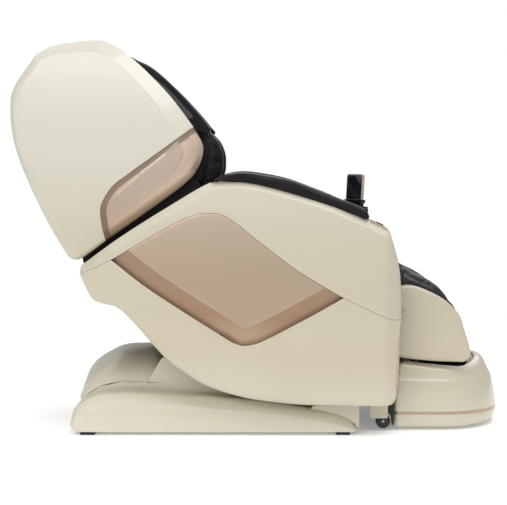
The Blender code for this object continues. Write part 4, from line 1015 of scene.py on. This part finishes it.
# rings of the foot rest's parts, from low to high: (height, growth, share of the rim's rise)
FOOT_LOWER = ((0.01, -0.016), (0.0115, -0.009), (0.015, -0.004), (0.021, -0.001), (0.028, 0.0),
              (0.048, 0.0), (0.0497, -0.0012), (0.0502, -0.004))
FOOT_STRIP = ((0.05, -0.01), (0.05, -0.0022), (0.0586, -0.0022), (0.0586, -0.01))
FOOT_UPPER = ((0.059, -0.01), (0.0588, -0.0016), (0.06, 0.0), (0.09, -0.0002),
              (0.13, -0.0004, 0.1), (0.153, -0.0006, 0.2), (0.1545, -0.0014, 0.21),
              (0.156, -0.003, 0.22), (0.174, -0.0085, 0.55), (0.183, -0.0125, 0.8),
              (0.1865, -0.016, 0.9), (0.1895, -0.023, 0.97), (0.1935, -0.031, 1.0),
              (0.195, -0.035, 1.0), (0.1945, -0.039, 1.0), (0.191, -0.0415, 1.0),
              (0.185, -0.0425, 1.0), (0.15, -0.043, 0.62), (0.07, -0.043), (0.062, -0.043))
FOOT_LINING = ((0.084, -0.0436), (0.15, -0.0436, 0.62), (0.17, -0.0434, 0.85),
               (0.17, -0.0454, 0.85), (0.15, -0.0454, 0.62), (0.088, -0.0454))
FOOT_BAND = ((0.189, -0.0434, 1.0), (0.185, -0.064, 1.0), (0.179, -0.064, 1.0), (0.18, -0.0434, 1.0))


def foot_shells():
    for name, rows, material, caps, angle in (
            ("foot_lower_shell", FOOT_LOWER, CREAM, True, 50),
            ("foot_bronze_strip", FOOT_STRIP, BRONZE, False, 30),
            ("foot_upper_shell", FOOT_UPPER, CREAM, True, 50),
            ("foot_lining", FOOT_LINING, LEATHER, True, 50),
            ("foot_rim_band", FOOT_BAND, DOTTED, False, 30)):
        part = loft(name, [foot_ring(*row) for row in rows], caps)
        dress(part, material, "foot", angle=angle)
    # the guide rods that carry the foot rest along the leg frame
    sin, cos = math.sin(LEG_LEAN), math.cos(LEG_LEAN)
    for side, sign in SIDES:
        ends = [(LEG_PIVOT[0] + sin * d - cos * 0.022, sign * 0.2,
                 LEG_PIVOT[1] - cos * d - sin * 0.022) for d in (0.085, 0.44)]
        dress(rod(f"foot_guide_{side}", *ends, 0.008), MOTOR, "foot", slot="steel")


# ---------------------------------------------------------------- hood

def hood():
    """The gloss hood: a cheek with a speaker grille on each side, a bridge and a lining."""
    outline = closed(HOOD_FRONT, HOOD_REST)
    for side, sign in SIDES:
        cheek = slab(f"hood_cheek_{side}", outline, sign * HOOD_HALF, sign * 0.289)
        soften_edges(cheek, 0.005).modifiers["rounding"].harden_normals = True
        dress(cheek, GLOSS, "backrest", *["hood_liner"] * (sign > 0))
        panel(f"speaker_grille_{side}", closed(looped(GRILLE)), sign * 0.2896, sign * 0.28,
              MESH, "backrest", 0.008)
    arch = run([(-0.372, 1.166), (-0.4, 1.18), (-0.44, 1.197), (-0.5, 1.2)], 0.01)
    under = run([(-0.5, 1.176), (-0.44, 1.152), (-0.41, 1.137), (-0.38, 1.15)], 0.01)
    bridge = loft("hood_bridge", [at_y(inset(arch + under, w), y) for y, w in (
        (-HOOD_HALF, 0.003), (-0.264, 0.0), (0.264, 0.0), (HOOD_HALF, 0.003))])
    dress(bridge, GLOSS, "backrest")
    top = run([(-0.506, 1.1985), (-0.56, 1.193), (-0.64, 1.165), (-0.695, 1.09), (-0.712, 1.000),
               (-0.69, 0.88)], 0.02)
    lining = top + [p + Vector((0.01, -0.01)) for p in top[::-1]]
    dress(slab("hood_lining", lining, -0.264, 0.264), LEATHER, "backrest", angle=60)


# ---------------------------------------------------------------- soft goods

def remeshed(name, source, voxel, shrink=0.0):
    """A new object with the source's shape as one even net, drawn in a little."""
    obj = new_object(name, source.data.copy())
    obj.matrix_world = source.matrix_world.copy()
    step = obj.modifiers.new("net", "REMESH")
    step.mode = "VOXEL"
    step.voxel_size = voxel
    soft = obj.modifiers.new("soften", "SMOOTH")
    soft.factor = 0.5
    soft.iterations = 6
    bake(obj)
    if shrink:
        normals = [v.normal.copy() for v in obj.data.vertices]
        for v, normal in zip(obj.data.vertices, normals):
            v.co -= normal * shrink
    return obj


def bake(obj):
    """Apply an object's modifiers to its mesh."""
    bpy.context.view_layer.update()
    graph = bpy.context.evaluated_depsgraph_get()
    mesh = bpy.data.meshes.new_from_object(obj.evaluated_get(graph))
    obj.modifiers.clear()
    obj.data = mesh


def puff(obj, cap, pressure=4.0, frames=20):
    """Let a padded piece swell as cloth under pressure, no point moving further than cap."""
    rest = [v.co.copy() for v in obj.data.vertices]
    cloth = obj.modifiers.new("stuffing", "CLOTH")
    for setting, value in (("quality", 4), ("mass", 0.3), ("tension_stiffness", 12),
                           ("compression_stiffness", 12), ("bending_stiffness", 0.6),
                           ("use_pressure", True), ("uniform_pressure_force", pressure)):
        setattr(cloth.settings, setting, value)
    cloth.settings.effector_weights.gravity = 0
    cloth.collision_settings.use_collision = False
    cloth.point_cache.frame_start = 1
    cloth.point_cache.frame_end = frames
    scene = bpy.context.scene
    for number in range(1, frames + 1):
        scene.frame_set(number)
    bake(obj)
    for v, start in zip(obj.data.vertices, rest):
        move = v.co - start
        if move.length > cap:
            v.co = start + move * (cap / move.length)
    scene.frame_set(1)
    return obj


def tree_of(obj):
    return BVHTree.FromPolygons([v.co for v in obj.data.vertices],
                                [p.vertices for p in obj.data.polygons])


def on_surface(obj, points, direction, start=0.5):
    """Where lines along direction, from well outside, first meet the piece."""
    tree = tree_of(obj)
    push = Vector(direction).normalized()
    found = [tree.ray_cast(Vector(p) - push * start, push, 2 * start) for p in points]
    return [(spot, normal) for spot, normal, _, _ in found if spot is not None]


def dense(points, step=0.004):
    """Evenly spaced points along a 3-D polyline."""
    out = [Vector(points[0])]
    for a, b in zip(points, points[1:]):
        a, b = Vector(a), Vector(b)
        count = max(1, round((b - a).length / step))
        out += [a.lerp(b, (i + 1) / count) for i in range(count)]
    return out


def sew(obj, lines, direction, body, depth, reach):
    """Press seams into a cushion along lines seen from direction, and stitch them."""
    seams = [on_surface(obj, dense(line), direction) for line in lines]
    marks = np.array([tuple(s) for seam in seams for s, _ in seam])
    co = np.array([tuple(v.co) for v in obj.data.vertices])
    low, high = marks.min(0) - reach, marks.max(0) + reach
    picked = np.where(((co > low) & (co < high)).all(1))[0]
    for index in picked:
        v = obj.data.vertices[index]
        away = np.sqrt(((marks - co[index]) ** 2).sum(1).min())
        if away < reach:
            v.co -= v.normal * depth * (1 - (away / reach) ** 2) ** 2
    threads = []
    for seam in seams:
        threads += stitch_row(on_surface(obj, [s for s, _ in seam], direction))
    dress(merged(f"{obj.name}_stitching", threads), THREAD, body, angle=60)


def stitch_row(spots):
    """Short thread lengths along a seam, one every three spots."""
    out = []
    for i in range(0, len(spots) - 2, 3):
        (a, normal), (b, _) = spots[i], spots[i + 1]
        if 1e-4 < (b - a).length < 0.02:
            lift = normal * STITCH_LIFT
            out.append(rod("stitch", a + lift, b + lift, STITCH_RADIUS, 6))
    return out


def cushion(node, voxel, shrink, cap, pressure=4.0):
    """A CAD cushion remade as an even net and swollen."""
    return puff(remeshed(node, NODES[node], voxel, shrink), cap, pressure)


def finish_cushion(obj, body, *nodes, fill=0.7, material=LEATHER):
    dress(obj, material, body, *nodes, angle=70)
    step = obj.modifiers.new("fine", "SUBSURF")
    step.levels = step.render_levels = 1


def seat_cushion():
    obj = cushion("seat_cushion", 0.008, 0.004, 0.022)
    lo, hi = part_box("seat_cushion")
    front, rear = hi.x - 0.055, lo.x + 0.045
    lines = [[(rear, y, hi.z), (front, y, hi.z)] for y in (-0.15, 0.15)]
    lines += [[(x, -0.15, hi.z), (x, 0.15, hi.z)] for x in (-0.01, 0.12, 0.235)]
    sew(obj, lines, (0, 0, -1), "seat", 0.007, 0.02)
    finish_cushion(obj, "seat", fill=0.75)


def back_cushions():
    pad = cushion("back_pad", 0.008, 0.004, 0.018)
    facing = (-math.cos(BACK_LEAN), 0, -math.sin(BACK_LEAN))

    def across(u, half):
        x, z = back(u, 0.14)
        return [(x, -half, z), (x, half, z)]

    def upright(y, u0, u1):
        (x0, z0), (x1, z1) = back(u0, 0.14), back(u1, 0.14)
        return [(x0, y, z0), (x1, y, z1)]

    lines = [upright(y, 0.275, 0.94) for y in (-0.085, 0.085)]
    lines += [across(u, 0.085) for u in (0.37, 0.48, 0.59, 0.7)]
    sew(pad, lines, facing, "backrest", 0.007, 0.02)
    finish_cushion(pad, "backrest")
    pillow = cushion("head_pillow", 0.006, 0.004, 0.014)
    sew(pillow, [upright(y, 0.76, 0.895) for y in (-0.075, 0.075)], facing, "pillow", 0.005, 0.016)
    finish_cushion(pillow, "pillow", fill=0.65)


def shoulder_pads():
    outline = closed(looped(SHOULDER))
    edge = [(looped(SHOULDER), (0.03, 0.03), 0.8, round_off)]
    for side, sign in SIDES:
        pad = relief("outer", outline,
                     lambda p: sign * (0.2612 - falls(p, edge)), sign * 0.229, edge, pitch=0.01)
        inner = relief("inner", outline, lambda p: sign * (0.198 + falls(p, edge)), sign * 0.229,
                       edge, pitch=0.01)
        body = merged(f"shoulder_pad_{side}", [pad, inner])
        shade(body)
        net_body = remeshed(f"shoulder_cushion_{side}", body, 0.006, 0.003)
        bpy.data.objects.remove(body)
        puff(net_body, 0.01, 3.0)
        seam = [(p.x, sign * 0.26, p.y) for p in run(SHOULDER_SEAM, 0.01)]
        sew(net_body, [seam], (0, -sign, 0), "backrest", 0.004, 0.012)
        finish_cushion(net_body, "backrest", f"shoulder_pad_{side}", fill=0.8)


# across the arm pad: (y, how far its top drops there)
ARM_PAD_RINGS = ((0.283, 0.0085), (0.285, 0.004), (0.289, 0.0014), (0.296, 0.0), (0.3465, 0.0),
                 (0.397, 0.0), (0.404, 0.0014), (0.408, 0.004), (0.41, 0.0085))
ARM_LINING = mm((-500, 500), (-400, 420), (-225, 262), (-40, 200), (240, 200), (395, 300),
                (395, 645), (300, 690), (12, 792), (-80, 798), (-142, 778), (-420, 600))


def arm_pads():
    top = {side: run(ARM_PAD_TOP + nose, 0.012) for side, nose in PAD_NOSE.items()}
    rail = run(ARM_TOP, 0.012)
    for side, sign in SIDES:
        end = PAD_NOSE[side][-1][0]
        low = [p for p in rail if -0.145 < p.x < end - 0.006]
        outline = top[side] + [p - Vector((0, 0.006)) for p in low[::-1]]
        rings = [at_y([p - Vector((0, drop if i < len(top[side]) else 0))
                       for i, p in enumerate(outline)], sign * y) for y, drop in ARM_PAD_RINGS]
        pad = loft(f"arm_pad_{side}", rings)
        shade(pad)
        soft = remeshed(f"arm_cushion_{side}", pad, 0.005, 0.0012)
        bpy.data.objects.remove(pad)
        puff(soft, 0.004, 2.0)
        seam = [(p.x, sign * 0.392, p.y) for p in top[side] if -0.1 < p.x < end - 0.03]
        sew(soft, [seam], (0, 0, -1), "seat", 0.002, 0.007)
        finish_cushion(soft, "seat", f"arm_pad_{side}", fill=0.8)
        straight = closed(*zip(ARM_LINING, ARM_LINING[1:] + ARM_LINING[:1]))
        panel(f"arm_lining_{side}", straight, sign * ARM_LINING_Y, sign * (ARM_IN - 0.0003),
              LEATHER, "seat", 0.02)


def calf_cushion():
    obj = cushion("calf_cushion", 0.006, 0.0015, 0.008, 3.0)
    wall = run(CALF_WALL, 0.01)
    co = np.array([tuple(v.co) for v in obj.data.vertices])
    from_edge, _ = distance(co[:, [0, 2]], wall)
    side = np.clip((np.abs(co[:, 1]) - 0.165) / 0.02, 0, 1)
    wobble = 0.9 * np.sin(co[:, 0] * 46) + 0.6 * np.sin(co[:, 2] * 71 + 1.0)
    pleat = np.abs(np.sin(from_edge * math.pi / 0.026 + 0.8 + wobble * 0.4))
    press = 0.007 * (1 - pleat) ** 1.5 * side * np.clip(1 - from_edge / 0.12, 0, 1)
    for v, amount in zip(obj.data.vertices, press):
        v.co -= v.normal * float(amount)
    finish_cushion(obj, "legrest", material=CALF_LEATHER)


def foot_cushion():
    """The CAD cushion, drawn in to the shell's rounder toe and lower rim."""
    source = new_object("source", NODES["foot_cushion"].data.copy())
    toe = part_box("foot_cushion")[1].x
    for v in source.data.vertices:
        square = max(0.0, (v.co.x - 0.64) / (toe - 0.64))
        rounder = max(0.0, (v.co.x - FOOT_FLANK_END) / (toe + 0.002 - FOOT_FLANK_END))
        old = max(0.0, 1 - square ** 2.78) ** (1 / 2.78)
        new = max(0.0, 1 - rounder ** 2.15) ** (1 / 2.15)
        v.co.y *= min(1.0, (new + 0.02) / (old + 0.02))
        lift = min(1.0, max(0.0, (v.co.z - 0.06) / 0.13))
        middle = max(0.0, 1 - (v.co.y / 0.3) ** 2)
        toe_part = min(1.0, max(0.0, (v.co.x - 0.6) / 0.15)) ** 2 * middle
        v.co.z -= 0.04 * toe_part * lift
    obj = remeshed("foot_cushion", source, 0.006, 0.0015)
    bpy.data.objects.remove(source)
    puff(obj, 0.005, 2.0)
    finish_cushion(obj, "foot", fill=0.6)


# ---------------------------------------------------------------- small trim and CAD nodes

def side_linings():
    """Black fabric that closes the gaps round the seat: under the wings and beside the pads."""
    outline = closed(mm((-215, 830), (-250, 800), (-440, 662), (-545, 600)),
                     mm((-545, 600), (-530, 520), (-420, 540), (-230, 660), (-165, 705),
                        (-165, 760), (-215, 830)), step=0.012)
    strip = run([back(u, v) for u, v in ((0.235, 0.06), (0.5, 0.066), (0.99, 0.06))], 0.02)
    strip += [p + Vector((-0.004, -0.001)) for p in strip[::-1]]
    seat_strip = mm((-150, 395), (335, 400), (335, 432), (200, 440), (-150, 432))
    for side, sign in SIDES:
        panel(f"side_lining_{side}", outline, sign * 0.2805, sign * 0.274, LEATHER, "backrest",
              0.014)
        plate(f"back_lining_{side}", strip, sign * 0.178, sign * 0.2735, 0.0015, LEATHER,
              "backrest")
        plate(f"seat_lining_{side}", seat_strip, sign * 0.263, sign * ARM_LINING_Y, 0.004,
              LEATHER, "seat")


def fold(name, path, half, thick):
    """A soft fabric strip along a side-view path, with a few cross folds."""
    path = run(path, 0.005)
    rings = []
    count = 48
    for i in range(count + 1):
        y = half * (2 * i / count - 1)
        ripple = 0.0012 * math.sin(y * 70) + 0.0008 * math.sin(y * 131 + 1)
        top, low = [], []
        for k, p in enumerate(path):
            ahead = path[min(k + 1, len(path) - 1)] - path[max(k - 1, 0)]
            normal = Vector((-ahead.y, ahead.x)).normalized()
            lift = 0.0016 * math.sin(k * 0.9) + ripple
            top.append(p + normal * (thick / 2 + lift))
            low.append(p - normal * (thick / 2 - lift))
        rings.append(at_y(top + low[::-1], y))
    return loft(name, rings)


def joint_fabrics():
    """Fabric across the seat's two joints: behind the cushion and in front of it."""
    rear = fold("seat_back_fabric", [(-0.12, 0.425), (-0.16, 0.405), (-0.2, 0.4),
                                     back(0.225, 0.095), back(0.245, 0.1)], 0.25, 0.004)
    front = fold("seat_leg_fabric", [(0.325, 0.4), (0.352, 0.388), (0.385, 0.4), (0.41, 0.44),
                                     (0.432, 0.472)], 0.205, 0.004)
    for obj, width, other, start, end in (
            (rear, 0.5, "backrest", (-0.15, 0, 0.41), (-0.235, 0, 0.41)),
            (front, 0.41, "legrest", (0.35, 0, 0.4), (0.425, 0, 0.46))):
        obj.data.materials.append(LEATHER)
        shade(obj, 70)
        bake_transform(obj)


def end_trims():
    """A thin bronze plate with a black glass key strip on the front of each arm."""
    rail = run(ARM_TOP, 0.008)
    for side, sign in SIDES:
        start = PAD_NOSE[side][-1][0] - 0.004
        low = [p - Vector((0, 0.004)) for p in rail if start < p.x < 0.407]
        plate(f"arm_end_trim_{side}", low + [p + Vector((0, 0.0072)) for p in low[::-1]],
              sign * 0.284, sign * 0.399, 0.0012, BRONZE, "seat")
        strip = [p + Vector((0, 0.007)) for p in low if start + 0.008 < p.x < 0.398]
        plate(f"end_trim_glass_{side}", strip + [p + Vector((0, 0.002)) for p in strip[::-1]],
              sign * 0.296, sign * 0.388, 0.0005, GLOSS, "seat")
        if side == "left":
            boss = rod("remote_boss", (0.38, 0.35, 0.648), (0.38, 0.35, 0.6837), 0.017, 40)
            dress(soften_edges(boss, 0.0015), GLOSS, "seat")
    for name, y in (("power", -0.32), ("pause", -0.365)):
        tilt = math.radians(25)
        along = Vector((math.sin(tilt), 0, math.cos(tilt)))
        spot = min(rail, key=lambda p: abs(p.x - 0.381))
        foot = Vector((spot.x, y, spot.y)) + along * 0.002
        key = rod(f"quick_button_{name}", foot, foot + along * 0.005, 0.0105, 40)
        dress(soften_edges(key, 0.0008), GLASS, f"button_{name}")


# the handset and its cradle: (name, body, material, half width, y, z, corner radius)
HANDSET_PLATES = (
    ("remote_handset", "handset", BRONZE, 0.0355, (-0.0066, 0.006), (-0.0035, 0.094), 0.009),
    ("handset_screen", "handset", GLASS, 0.033, (-0.0076, -0.006), (0.003, 0.0915), 0.007),
    ("remote_key", "key", GLOSS, 0.008, (-0.0092, -0.0072), (0.009, 0.019), 0.004),
    ("remote_cradle", "cradle", GLOSS, 0.0385, (-0.0122, 0.0128), (-0.009, 0.0045), 0.004),
    ("cradle_back", "cradle", GLOSS, 0.03, (0.0064, 0.0126), (-0.006, 0.03), 0.006),
    ("cradle_keypad", "cradle", GLOSS, 0.034, (-0.008, 0.011), (-0.03, -0.007), 0.006))


def handset_details():
    facing = Matrix.Rotation(math.radians(-42), 4, "Z") @ Matrix.Rotation(math.radians(-5), 4, "X")
    place = Matrix.Translation((0.349, 0.35, 0.711)) @ facing
    for name, body, material, half, y, z, corner in HANDSET_PLATES:
        dress(rounded_plate(name, place, (-half, half), y, z, corner), material, body)


def finish_nodes():
    """Better materials and rounded edges on the CAD nodes that stay."""
    for name, obj in NODES.items():
        if obj.hide_render:
            continue
        material = SLOTS[obj.data.materials[0].name.split(".")[0]][0]
        if name == "remote_stand":
            material = GLOSS
        obj.data.materials.clear()
        obj.data.materials.append(material)
        if name == "leg_frame":
            obj.data.materials.append(CREAM)
            for face in obj.data.polygons:
                face.material_index = int(abs(face.center.y) > 0.2615)
        flat = obj.modifiers.new("flatten", "DECIMATE")
        flat.decimate_type = "DISSOLVE"
        flat.angle_limit = math.radians(1)
        soften_edges(obj, 0.0008, 2)


# ---------------------------------------------------------------- assembly

camera()
studio()
arms()
wings()
back_shell()
base()
calf_shells()
foot_shells()
hood()
seat_cushion()
back_cushions()
shoulder_pads()
arm_pads()
side_linings()
joint_fabrics()
calf_cushion()
foot_cushion()
end_trims()
handset_details()
finish_nodes()
